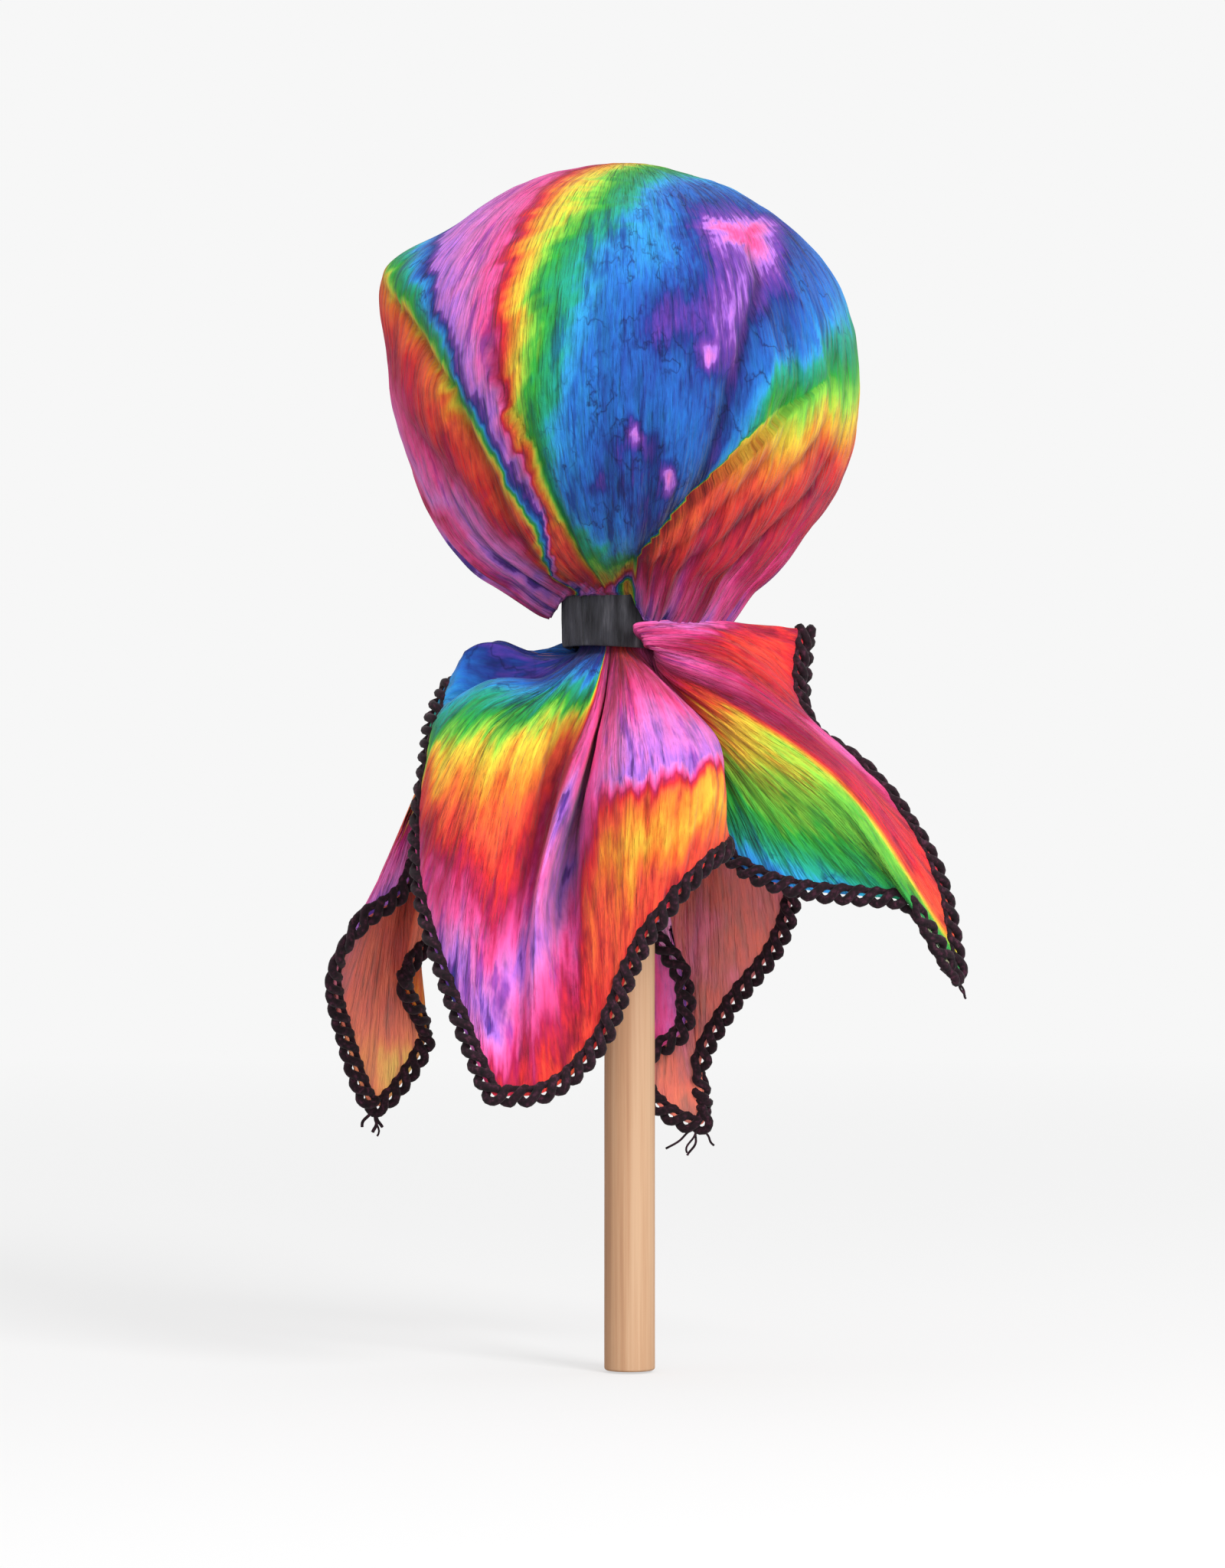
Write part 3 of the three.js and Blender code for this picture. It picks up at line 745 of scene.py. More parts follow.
def head_shell(points, dye, shade, grain):
    """Closes the cover with a smooth lining just inside it."""
    columns, rows = points.shape[:2]
    middle = np.array([0.0, 0.0, HEAD_CENTRE[2]])
    neck = len(NECK_TURN) + 1
    picked = np.unique(np.concatenate([np.arange(neck), np.arange(neck, rows, LINING_STEP), [rows - 1]]))
    # The lining has fewer rows, so each lies under the deepest crease of the rows it spans.
    reach = np.linalg.norm(points - middle, axis=-1)
    deepest = reach.copy()
    for shift in range(-LINING_STEP, LINING_STEP + 1):
        shifted = np.clip(np.arange(rows) + shift, neck, rows - 1)
        deepest = np.minimum(deepest, reach[:, shifted])
    deepest = np.where(np.arange(rows) < neck + 2, reach, deepest)
    share = ((deepest - LINING_DROP) / reach)[:, picked, None]
    lining = middle + (points[:, picked] - middle) * share
    lining[:, :3, :2] = points[:, :3, :2] * 0.9
    lining[:, :3, 2] = points[:, :3, 2]
    inner_rows = len(picked)
    outer_count, inner_count = columns * rows, columns * inner_rows
    crown = points[:, -1].mean(0) + [0, 0, 0.05]
    under = lining[:, -1].mean(0)
    vertices = np.concatenate([points.reshape(-1, 3), lining.reshape(-1, 3), [crown, under]])
    c = np.arange(columns)
    after = (c + 1) % columns
    outer = grid_faces(columns, rows, wrap=True)
    inner = grid_faces(columns, inner_rows, first=outer_count, wrap=True)[:, ::-1]
    below, below_after = outer_count + c * inner_rows, outer_count + after * inner_rows
    lip = np.stack([after * rows, c * rows, below, below_after], -1)
    crown_point = np.full(columns, outer_count + inner_count)
    top = np.stack([c * rows + rows - 1, after * rows + rows - 1, crown_point], -1)
    cap = np.stack([below_after + inner_rows - 1, below + inner_rows - 1, crown_point + 1], -1)
    faces = [outer, inner, lip, top, cap]
    per_vertex = np.concatenate([grain.reshape(-1, 2), grain[:, picked].reshape(-1, 2), [CROWN_GRAIN] * 2])
    corners = np.concatenate([f.ravel() for f in faces])
    places = per_vertex[corners].copy()
    # The last column's far corners go on past a full turn instead of back to nought.
    column = np.where(corners < outer_count, corners // rows, (corners - outer_count) // inner_rows)
    sizes = np.concatenate([np.full(len(f), f.shape[1]) for f in faces])
    widest = np.maximum.reduceat(column, np.cumsum(sizes) - sizes)
    crosses = np.repeat(widest == columns - 1, sizes) & (column == 0)
    places[crosses, 0] += TAU * FOLD_SPHERE
    dye_all = np.concatenate([dye.ravel(), dye[:, picked].ravel(), [dye[0, -1]] * 2])
    shade_all = np.concatenate([shade.ravel(), shade[:, picked].ravel(), [1, 1]])
    inside = np.concatenate([np.zeros(outer_count), np.ones(inner_count), [0, 1]])
    return add_mesh("head_cloth", vertices, faces, cloth, grain=places,
                    dye=dye_all, shade=np.clip(shade_all, 0.45, 1.1), inside=inside)


fix_to_wand(build_head_cover(), CLOTH_SLOT, "head_cover")

# ---------------------------------------------------------------- skirt cloth

# Each rib is a line down the cloth from the neck to the hem: the azimuth where it leaves
# the neck, the points it passes, the last on the hem, and its dye at nine even steps.
RIBS = [
    (186, (-24, -3, 179.5), (-33, -5, 182), (-41, -7, 180.5), (-45.5, -4, 172),
     (7.2, 7.4, 7.5, 7.5, 7.5, 7.4, 7.2, 7, 6.9)),
    (196, (-20, -9, 172), (-32, -12, 166), (-43, -15, 168), (-49, -14, 164),
     (7.5, 7.5, 7.5, 7.4, 7.2, 6.9, 6.6, 6.3, 6.0)),
    (206, (-22, -20, 173.5), (-35, -28, 173), (-46.5, -28, 165), (-51, -24, 152),
     (7.6, 7.3, 7.2, 7.0, 6.6, 6.2, 5.7, 4.8, 3.6)),
    (216, (-20, -24, 172.5), (-36, -35, 166), (-47.5, -36, 150), (-52.9, -30, 132.6),
     (7.6, 7.2, 6.6, 5.9, 5.0, 3.9, 2.5, 1.7, 1.2)),
    (224, (-19, -26, 172), (-35, -38, 160), (-45, -42, 135), (-50, -35, 114),
     (7.6, 7.1, 6.3, 5.1, 3.8, 2.5, 1.6, 1.1, 0.6)),
    (230, (-18, -27, 171.5), (-32, -39, 157), (-40, -44, 125), (-43.5, -40, 95),
     (7.6, 7.1, 5.9, 4.6, 3.4, 1.9, 1.2, 0.3, -0.5)),
    (236, (-15, -27, 171), (-25, -37, 150), (-33, -42, 106), (-34.4, -45, 73),
     (7.6, 7.1, 5.4, 3.9, 2.3, 1.5, 0.6, -0.2, 1.6)),
    (241, (-11, -24, 169), (-18.5, -31, 150), (-26, -38, 112), (-28.5, -45, 71.5),
     (7.6, 7, 5, 2.2, 1.8, 0.9, -0.1, 1, 2.1)),
    (245, (-8, -27, 166), (-14.5, -41, 147), (-22.8, -46, 118), (-21.5, -45.5, 72),
     (1.3, 1.1, 1, 0.9, -0.2, 0.7, 0.1, 1, 2.1)),
    (249, (-6.5, -20, 164), (-10.5, -26, 147), (-15.5, -33, 120), (-13.9, -44, 76.8),
     (1.6, 1.2, 1, 0.9, 0.8, -0.2, 0.7, 1.8, 2.3)),
    (253, (-6, -27, 166), (-8.4, -38, 151), (-9.3, -42, 135), (-6.3, -44, 86.4),
     (1.9, 1.1, 1, 0.9, 0.7, 1.3, 2.8, 2.2, 2.1)),
    (258, (-3, -30, 171), (-2.5, -46, 153), (-1.8, -50, 138), (-1.8, -45, 97.9),
     (2.2, 1.4, 1, 0.6, 0, 2.4, 3.5, 2.4, 2)),
    (263, (1, -31, 173), (5, -48, 154), (5, -52, 140), (3.5, -46, 109.5),
     (2.3, 1.7, 1, 0.2, 0, 2.7, 3.6, 2.3, 1.9)),
    (268, (6, -30, 172), (13, -46, 156), (14, -50, 142), (11.5, -46, 120),
     (2, 1.4, 1, 0.4, 0, 3.0, 3.5, 2.3, 1.9)),
    (273, (10, -25, 171), (19.5, -39, 158), (21.5, -43, 146), (19, -42, 128),
     (1.8, 1.3, 1, 0.4, 0.2, 3.2, 3.5, 2.5, 2)),
    (278, (11, -19, 170), (20.5, -30, 159), (23.2, -33, 146), (24, -34, 131.5),
     (1.4, 1.2, 1, 0.8, 0.2, 1.2, 3, 2.6, 1.8)),
    (282, (9, -15, 168), (14, -18, 157), (18, -20, 146), (22, -20, 133),
     (1, 1.2, 2.2, 3.6, 4.3, 4.8, 5.4, 6.2, 7)),
    (285, (10, -16, 167), (17, -19, 154), (22, -22, 140), (26, -23, 128),
     (1, 1.2, 1.6, 3.8, 4.4, 4.9, 5.5, 6.3, 7)),
    (288, (10, -17, 168), (20, -22, 154), (28, -25, 138), (34, -26, 123.5),
     (1, 1.2, 1.6, 3.8, 4.6, 5.3, 5.9, 6.5, 6.9)),
    (290, (10, -18, 169), (23, -25, 154), (35, -28, 137), (46, -28, 120.7),
     (1, 1.2, 1.6, 4, 4.6, 4.9, 5.2, 5.9, 6.6)),
    (292, (10, -19, 170), (25, -28, 155.5), (42, -31, 137.5), (58, -28, 119.5),
     (1, 1.2, 1.6, 3.9, 4.5, 4.6, 4.9, 5.3, 6.4)),
    (294, (9.5, -20, 172), (27, -31, 158), (48, -35, 140), (69, -27, 117),
     (1, 1.2, 1.7, 3.7, 4.2, 4.5, 4.8, 5.0, 5.6)),
    (296, (9, -21, 174), (29, -33, 160.5), (54, -37, 141), (81.3, -22, 98.9),
     (1, 1.2, 1.7, 3.7, 4.3, 4.6, 4.8, 5.0, 5.3)),
    (298, (8, -21.5, 177), (30, -31, 167), (54, -31, 149), (79, -17, 117),
     (1, 0.9, 1.2, 1.4, 1.5, 1.6, 1.7, 1.9, 2.3)),
    (300, (7, -21.5, 180), (28, -26, 173), (49, -25, 156), (73.5, -14, 132),
     (1, 0.9, 0.7, 1.2, 1.5, 1.5, 1.7, 2.0, 1.7)),
    (302, (4.5, -21.5, 181.5), (25, -22, 178), (43, -19, 164), (60, -9, 151),
     (1, 1, 1, 2, 2.1, 1.6, 0.9, 0.6, 1)),
    (304, (3, -21, 183.5), (22, -18, 182.5), (37, -11, 173.5), (46.7, -4, 161),
     (1, 1, 1, 1.6, 2.1, 2.1, 1.9, 1.6, 1)),
    (306, (2.2, -20.5, 185), (20, -16, 185.5), (33, -6, 180.5), (42.8, 2, 172.8),
     (1, 1, 1, 0.5, 1.9, 2.1, 2.1, 2, 1.7)),
    (309, (1.2, -20, 186.4), (19, -13, 187.5), (32, -2, 186.8), (44.5, 9, 185.7),
     (1, 1, 0.9, 0.2, 0.5, 1.6, 2, 2, 1.9)),
    (330, (9, -15, 186.5), (21, -3, 185), (34, 8, 176), (43, 18, 160),
     (1, 1, 1.4, 2, 2, 2, 1.8, 1.5, 1.3)),
    (358, (15, -3, 183), (25, 14, 172), (36, 24, 152), (42.3, 28, 122),
     (2.4, 2.8, 3, 2.8, 2.4, 1.9, 1.5, 1.2, 1)),
    (382, (14, 11, 182), (22, 23, 165), (32, 30, 138), (37.6, 32, 105.4),
     (3.6, 4.4, 4.6, 4, 3.2, 2.2, 1.5, 1.2, 1)),
    (400, (11, 16, 181), (19, 28, 160), (24, 32, 128), (26.6, 34, 91),
     (5, 5.6, 5, 4.2, 3.2, 2.2, 1.5, 1.2, 1)),
    (412, (9, 17, 180), (16, 30, 155), (18, 34, 118), (18.5, 35, 76),
     (5.6, 5.8, 5, 4, 3, 2, 1.3, 1.6, 2.3)),
    (420, (7, 18, 180), (13, 31, 150), (13, 35, 98), (19, 36, 59.9),
     (6, 5.8, 4.8, 3.8, 3, 2, 1.2, 1.8, 2.4)),
    (428, (5, 18, 180), (10, 31, 150), (9, 35, 108), (8, 34, 64),
     (6.2, 5.8, 4.8, 3.8, 3, 2, 1.2, 1.8, 2.4)),
    (436, (4, 18, 180), (7, 30, 152), (4, 34, 112), (2, 32, 75),
     (6.4, 5.8, 4.8, 3.6, 2.8, 1.8, 1, 1.6, 2.4)),
    (444, (2, 18, 180), (5, 27, 152), (9, 27, 118), (13.5, 28, 84),
     (6.6, 5.8, 4.6, 3.4, 2.4, 1.4, 0.6, 0.4, 0.2)),
    (452, (0, 18, 180), (1, 27, 155), (5, 26, 128), (13, 27, 99),
     (6.8, 5.8, 4.6, 3.4, 2.6, 1.6, 0.8, 0.2, -0.2)),
    (460, (-2, 18, 180), (-4, 29, 160), (-3, 29, 140), (0, 28, 115),
     (6.8, 5.6, 4.4, 3.2, 2.4, 1.6, 1, 0.6, 0.2)),
    (466, (-4, 18, 181), (-8, 28, 168), (-11, 31, 150), (-12, 30, 124),
     (7, 5.6, 4.4, 3.4, 2.8, 2.2, 1.6, 1.2, 1)),
    (474, (-8, 18, 181), (-16, 28, 168), (-24, 32, 146), (-28, 30, 118),
     (7, 6, 5, 4, 3.2, 2.6, 2.2, 2, 2)),
    (484, (-12, 16, 182), (-26, 26, 168), (-38, 31, 142), (-46, 27, 112),
     (7.2, 6.6, 6, 4.8, 3.8, 2.8, 2.2, 2, 2)),
    (494, (-15, 14, 182), (-33, 23, 166), (-49, 24, 134), (-57, 15, 98),
     (7.2, 6.6, 6, 4.8, 3.8, 2.8, 2.2, 2.4, 2.8)),
    (503, (-16, 12, 182), (-36, 20, 165), (-53, 25, 128), (-52, 26, 82),
     (7.3, 6.8, 6.2, 5, 3.6, 2.4, 2.2, 3, 3.4)),
    (512, (-17, 10, 182), (-39, 16, 165), (-60, 22, 120), (-65, 20, 65),
     (7.3, 7, 6.8, 5.8, 3.8, 2.4, 2, 2.6, 3.2)),
    (519, (-18, 8, 182), (-41, 12, 168), (-61, 13, 128), (-72.5, 12, 84),
     (7.4, 7, 7, 6.4, 4.6, 2, 1.8, 2.2, 3)),
    (526, (-19, 5, 181.5), (-41, 6, 172), (-58, 5, 134), (-74.5, 2, 100),
     (7.4, 7, 7, 6.8, 5, 2.2, 0.6, 1, 1.2)),
    (532, (-20, 3, 181), (-38, 1, 174), (-54, 1, 143), (-68, -3, 112),
     (7.4, 7, 7, 7.1, 6.4, 3.4, 1.6, 0.6, -0.2)),
    (538, (-21, 0, 180.5), (-35, 0, 177), (-46, 3, 158), (-56, 2, 122),
     (7.5, 7, 7, 7, 6.2, 4.6, 1.9, 1, -0.1)),
    (542, (-22, -1, 180), (-34, -2, 181), (-42, -1, 168), (-48, 3, 148),
     (7.5, 7, 7, 7.2, 7.1, 6.7, 6, 5, 4)),
]
# The first and last rib of each panel. A panel ends in the tail of the same name.
PANELS = {
    "front": (0, 16),
    "right": (16, 28),
    "back": (28, 40),
    "left": (40, 51),
}
ROW_STEPS = [3, 16, 22, 24, 30]
COLUMN_STEPS = 12
RIB_PULL = 0.45  # how strongly the cloth's curves lean towards their neighbours
NECK_SHARE = 0.8  # of the band's radius, where the cloth leaves the band
NECK_DROP = 0.6  # below the band, where the cloth starts to open
HIDDEN_LENGTH = 4.0  # cloth held inside the band


def skirt_grid():
    """Places of the whole skirt, as columns round it by rows down it."""
    ribs = []
    neck_z = band_low[2] - NECK_DROP
    radius = NECK_SHARE * BAND_RADIUS
    for azimuth, *points, _ in RIBS:
        turn = math.radians(azimuth)
        x, y = math.cos(turn) * radius, math.sin(turn) * radius
        ribs.append([[x, y, neck_z + HIDDEN_LENGTH], [x, y, neck_z], *points])
    down = spline(np.swapaxes(np.array(ribs, float), 0, 1), ROW_STEPS, pull=RIB_PULL).swapaxes(0, 1)
    return spline(down, [COLUMN_STEPS] * len(RIBS), closed=True, pull=RIB_PULL)


FOLD_STEP = 1.3  # ribs whose dyes differ by more than this have a fold between them
FOLD_EASE = 0.8


def skirt_dye(columns, rows):
    """The dye at each place of the grid, with teeth that run down the cloth."""
    dyes = np.array([rib[-1] for rib in RIBS] + [RIBS[0][-1]], float)
    turn = np.arange(columns) * TAU / columns
    share = np.arange(rows) / (rows - 1)
    circle = np.repeat(np.stack([np.cos(turn), np.sin(turn)], -1)[:, None, :], rows, 1)
    fall = np.repeat(share[None, :], columns, 0)
    place = np.concatenate([circle * 38, fall[..., None] * 7], -1)
    broad = np.concatenate([circle * 9, fall[..., None] * 3], -1)
    fall = fall + 0.075 * layered_noise(place, 54) + 0.03 * layered_noise(broad, 55)
    step = np.clip(fall, 0, 1) * (dyes.shape[1] - 1)
    rib = np.broadcast_to(np.arange(columns)[:, None] / COLUMN_STEPS, step.shape)
    low_rib, low_step = rib.astype(int), np.minimum(step.astype(int), dyes.shape[1] - 2)
    a, b = rib - low_rib, step - low_step
    # Where neighbouring ribs differ much a fold hides the colours between, so they meet.
    apart = np.abs(dyes[low_rib + 1, low_step] - dyes[low_rib, low_step])
    sharp = np.clip((apart - FOLD_STEP) / FOLD_EASE, 0, 1) * 0.9
    a = a * (1 - sharp) + smoothstep(0.36, 0.64, a) * sharp
    upper = dyes[low_rib, low_step] * (1 - b) + dyes[low_rib, low_step + 1] * b
    lower = dyes[low_rib + 1, low_step] * (1 - b) + dyes[low_rib + 1, low_step + 1] * b
    return upper * (1 - a) + lower * a


# Painted shade in the creases: rib, first and last fall (0 the neck, 1 the hem), how dark,
# and how many ribs away the darkness ends.
SHADOWS = [
    (9, -0.1, 0.86, 0.62, 0.9),
    (1.1, 0.02, 0.75, 0.6, 1.1),
    (16.6, 0.0, 1.1, 0.62, 1.6),
    (23, 0.05, 0.75, 0.45, 0.8),
    (19.5, -0.2, 0.42, 0.5, 4.5),
    (4.5, 0.3, 0.8, 0.22, 0.5),
    (7.0, 0.12, 0.7, 0.5, 1.1),
    (12.5, 0.1, 0.5, 0.2, 0.4),
    (25.4, 0.2, 0.9, 0.25, 0.6),
    (33.0, 0.3, 0.9, 0.35, 0.6),
    (38.5, 0.2, 0.9, 0.4, 0.8),
    (44.5, 0.3, 0.9, 0.35, 0.7),
    (49.5, 0.3, 0.9, 0.35, 0.7),
    (30.5, 0.2, 0.9, 0.35, 0.6),
]


def skirt_shadow(columns, rows):
    """Painted shade at each place of the grid, darkest in its creases and at the neck."""
    rib = np.arange(columns)[:, None] / COLUMN_STEPS
    fall = np.linspace(0, 1, rows)[None, :]
    shade = np.repeat(1 - 0.4 * (1 - smoothstep(0.0, 0.12, fall)), columns, 0)
    for crease, first, last, dark, width in SHADOWS:
        away = np.abs((rib - crease + len(RIBS) / 2) % len(RIBS) - len(RIBS) / 2)
        along = smoothstep(first, first + 0.15, fall) * (1 - smoothstep(last - 0.2, last, fall))
        shade = shade * (1 - dark * along * (1 - smoothstep(0, width, away)))
    return shade


def surface_directions(grid):
    """Unit directions round the skirt, down it, and out of its face."""
    around = unit(np.roll(grid, -1, 0) - np.roll(grid, 1, 0))
    down = unit(np.gradient(grid, axis=1))
    return around, down, unit(np.cross(down, around))


def pleat_skirt(points):
    """Gathers at the neck that open out, and long creases that run on down to the hem."""
    columns, rows = points.shape[:2]
    turn = np.arange(columns) * TAU / columns
    circle = np.repeat(np.stack([np.cos(turn), np.sin(turn)], -1)[:, None, :], rows, 1)
    fall = np.linspace(0, 1, rows)[None, :, None] * np.ones((columns, 1, 1))
    depth = fall[..., 0]
    _, _, face = surface_directions(points)
    gathers = layered_noise(np.concatenate([circle * 16, fall * 1.5], -1), 51)
    creases = layered_noise(np.concatenate([circle * 26, fall * 4], -1), 52)
    soft = layered_noise(np.concatenate([circle * 7, fall * 3], -1), 53)
    shown = smoothstep(0.03, 0.16, depth) * (1 - 0.6 * smoothstep(0.93, 1.0, depth))
    lift = shown * (1.3 * gathers * (1 - depth) + 0.75 * creases + 0.9 * soft * depth)
    return points + face * lift[..., None], lift


skirt_points, skirt_lift = pleat_skirt(skirt_grid())
skirt_dyes = skirt_dye(*skirt_points.shape[:2])
skirt_shade = skirt_shadow(*skirt_points.shape[:2])
_, _, skirt_face = surface_directions(skirt_points)


def down_arc(points):
    step = np.linalg.norm(np.diff(points, axis=1), axis=-1)
    return np.concatenate([np.zeros((len(points), 1)), np.cumsum(step, 1)], 1)


hem_step = np.linalg.norm(np.roll(skirt_points[:, -1], -1, 0) - skirt_points[:, -1], axis=-1)
hem_arc = np.concatenate([[0], np.cumsum(hem_step)])
skirt_arc = down_arc(skirt_points)


def panel_columns(name):
    first, last = PANELS[name]
    return np.arange(first * COLUMN_STEPS, last * COLUMN_STEPS + 1)


def bend_with_tail(piece):
    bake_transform(piece)


INSIDE_PATCH = 15  # mm across the patches of other colour that soak through to the back
INSIDE_DRIFT = 1.1  # how many dye steps they differ
INSIDE_GLOW = 1.18  # painted light on the back of the cloth, for light that comes through it
GRAIN_SQUEEZE = 0.6  # of its true width at the hem, for the crinkle's pattern round the skirt


def build_panel(name):
    """A panel of the skirt with its tail: an outer face, an inner face and four edges."""
    columns = panel_columns(name)
    wrapped = columns % len(skirt_points)
    outer = skirt_points[wrapped]
    face = skirt_face[wrapped]
    inner = outer - face * CLOTH_THICKNESS
    count, rows = outer.shape[:2]
    total = count * rows
    faces_out = grid_faces(count, rows)
    faces_in = faces_out[:, ::-1] + total
    c, r = np.arange(count - 1), np.arange(rows - 1)
    hem = np.stack([c * rows + rows - 1, (c + 1) * rows + rows - 1], -1)
    hem = np.concatenate([hem[:, ::-1], hem + total], -1)
    neck = np.stack([c * rows, (c + 1) * rows], -1)
    neck = np.concatenate([neck, neck[:, ::-1] + total], -1)
    first = np.stack([r, r + 1], -1)
    first = np.concatenate([first[:, ::-1], first + total], -1)
    end = (count - 1) * rows + r
    last = np.stack([end, end + 1, total + end + 1, total + end], -1)
    # The grid's own winding faces inwards, so every face is turned over.
    faces = [f[:, ::-1] for f in (faces_out, faces_in, hem[:, ::-1], neck[:, ::-1], first[:, ::-1], last)]
    across = np.repeat(hem_arc[columns][:, None] * GRAIN_SQUEEZE, rows, 1)
    grain = np.stack([across, skirt_arc[wrapped]], -1)
    # Painted light and shade: raised cloth a little lighter and sunken cloth darker, times the painted shade
    # of the creases.
    shade = np.clip(1 + 0.14 * skirt_lift[wrapped], 0.62, 1.08) * skirt_shade[wrapped]
    shade = shade.ravel()
    dye = skirt_dyes[wrapped].ravel()
    drift = layered_noise(outer.reshape(-1, 3) / INSIDE_PATCH, 61)
    piece = add_mesh(
        f"skirt_{name}",
        np.concatenate([outer.reshape(-1, 3), inner.reshape(-1, 3)]),
        faces,
        cloth,
        grain=np.concatenate([grain.reshape(-1, 2)] * 2),
        normals=np.concatenate([face.reshape(-1, 3), -face.reshape(-1, 3)]),
        dye=np.concatenate([dye, dye + INSIDE_DRIFT * drift]),
        # The back of the cloth is painted lighter, for light that comes through it.
        shade=np.concatenate([shade, shade * INSIDE_GLOW]),
        inside=np.repeat([0.0, 1.0], total),
    )
    stand_for(piece, CLOTH_SLOT, f"tail_{name}", "skirt_yoke")
    bend_with_tail(piece)


# ---------------------------------------------------------------- hem edging


def resampled(line, values, step):
    """values along line, every step mm of it."""
    length = np.concatenate([[0], np.cumsum(np.linalg.norm(np.diff(line, axis=0), axis=1))])
    count = max(2, int(round(length[-1] / step)) + 1)
    at = np.linspace(0, length[-1], count)
    return at, [np.stack([np.interp(at, length, v[:, k]) for k in range(3)], -1) for v in values]


# Loose ends of thread at a tail's tip: how far each leans along the hem, as a share of its
# length, how far out of the cloth's face, its length, and its thickness.
FRAYED_ENDS = {
    "front": [],
    "back": [(-0.9, 0.2, 5.5, 0.3), (0.5, -0.3, 7.0, 0.28), (0.15, 0.35, 8.0, 0.32), (1.3, 0.1, 6.0, 0.3)],
    "left": [(-0.5, 0.3, 5.0, 0.45), (0.1, -0.2, 6.5, 0.5), (0.6, 0.25, 5.5, 0.45), (-0.15, 0.1, 7.5, 0.3)],
    "right": [(0.3, 0.2, 4.5, 0.28), (0.9, -0.2, 5.0, 0.3)],
}
FRAY_CURL = 0.12
EDGING_SAMPLE = 0.45  # mm between the places where the threads are worked out
RAIL_PLACE = 0.95  # of the edging's half width, in from its middle
RAIL_HALF_WIDTH = 0.8
RAIL_HALF_DEPTH = 0.95
# The panel before each one, whose side of the hem it shares.
SIDE_BEFORE = {"front": "left", "right": "front", "back": "right", "left": "back"}


def build_edging(name):
    """Overlock stitching along the cloth's edge."""
    wrapped = panel_columns(name) % len(skirt_points)
    line = skirt_points[wrapped, -1] - skirt_face[wrapped, -1] * CLOTH_THICKNESS / 2
    faces = skirt_face[wrapped, -1]
    at, (path, face) = resampled(line, [line, faces], EDGING_SAMPLE)
    along = unit(np.gradient(path, axis=0))
    out = unit(np.cross(along, face))
    face = unit(np.cross(out, along))
    phase = TAU / 2 * (hem_arc[panel_columns(name)[0]] + at) / EDGING_PITCH
    vertices, quads, ends = [], [], []

    def join(part):
        offset = sum(len(v) for v in vertices)
        vertices.append(part[0])
        quads.append(part[1] + offset)
        ends.append(part[2] + offset)

    # A cord on the cloth's very edge, and two threads that cross over it in a chain.
    rail = path - out * EDGING_HALF_WIDTH * RAIL_PLACE
    join(swept_tube(rail[::2], out[::2], face[::2], RAIL_HALF_WIDTH, RAIL_HALF_DEPTH, 8))
    for start in (0.0, math.pi):
        spread = np.cos(phase + start)[:, None] * out
        depth = np.sin(phase + start)[:, None] * face
        strand = path + spread * EDGING_HALF_WIDTH + depth * EDGING_HALF_DEPTH
        heading = unit(np.gradient(strand, axis=0))
        side = unit(spread + depth)
        side = unit(side - (side * heading).sum(-1, keepdims=True) * heading)
        up = np.cross(heading, side)
        join(swept_tube(strand, side, up, STRAND_RADIUS, STRAND_RADIUS, 7))
    tip = int(np.argmin(path[:, 2]))
    share = np.linspace(0, 1, 12)[:, None]
    for lean, lift, length, thick in FRAYED_ENDS[name]:
        curl = FRAY_CURL * np.sin(share * 7 + lean * 5)
        away = np.array([0, 0, -1]) + (lean + curl) * along[tip] + lift * face[tip]
        loose = path[tip] + away * length * share
        heading = unit(np.gradient(loose, axis=0))
        side = unit(np.cross(heading, face[tip]))
        join(swept_tube(loose, side, np.cross(heading, side), thick, thick, 6))
    faces = [np.concatenate(quads)] + ends
    piece = add_mesh(f"edging_stitches_{name}", np.concatenate(vertices), faces, thread)
    sides = (f"edging_{SIDE_BEFORE[name]}", f"edging_{name}")
    stand_for(piece, THREAD_SLOT, f"tail_{name}_edging", *sides)
    bend_with_tail(piece)


for panel in PANELS:
    build_panel(panel)
    build_edging(panel)

# ---------------------------------------------------------------- band, stick and filling


BAND_START = math.radians(196)
BAND_LAP = 0.5  # radians by which its end passes over its start
BAND_LIFT = 1.1  # of the lapped end, in mm
BAND_INSET = 0.9  # of the strip's middle from the CAD band's outside
BAND_EXTRA = 0.8  # half height over the CAD band's
BAND_SHIFT = 1.0
BAND_HALF_THICKNESS = 0.75
BAND_SQUARENESS = 0.55  # 1 is an oval section and 0 a rectangle


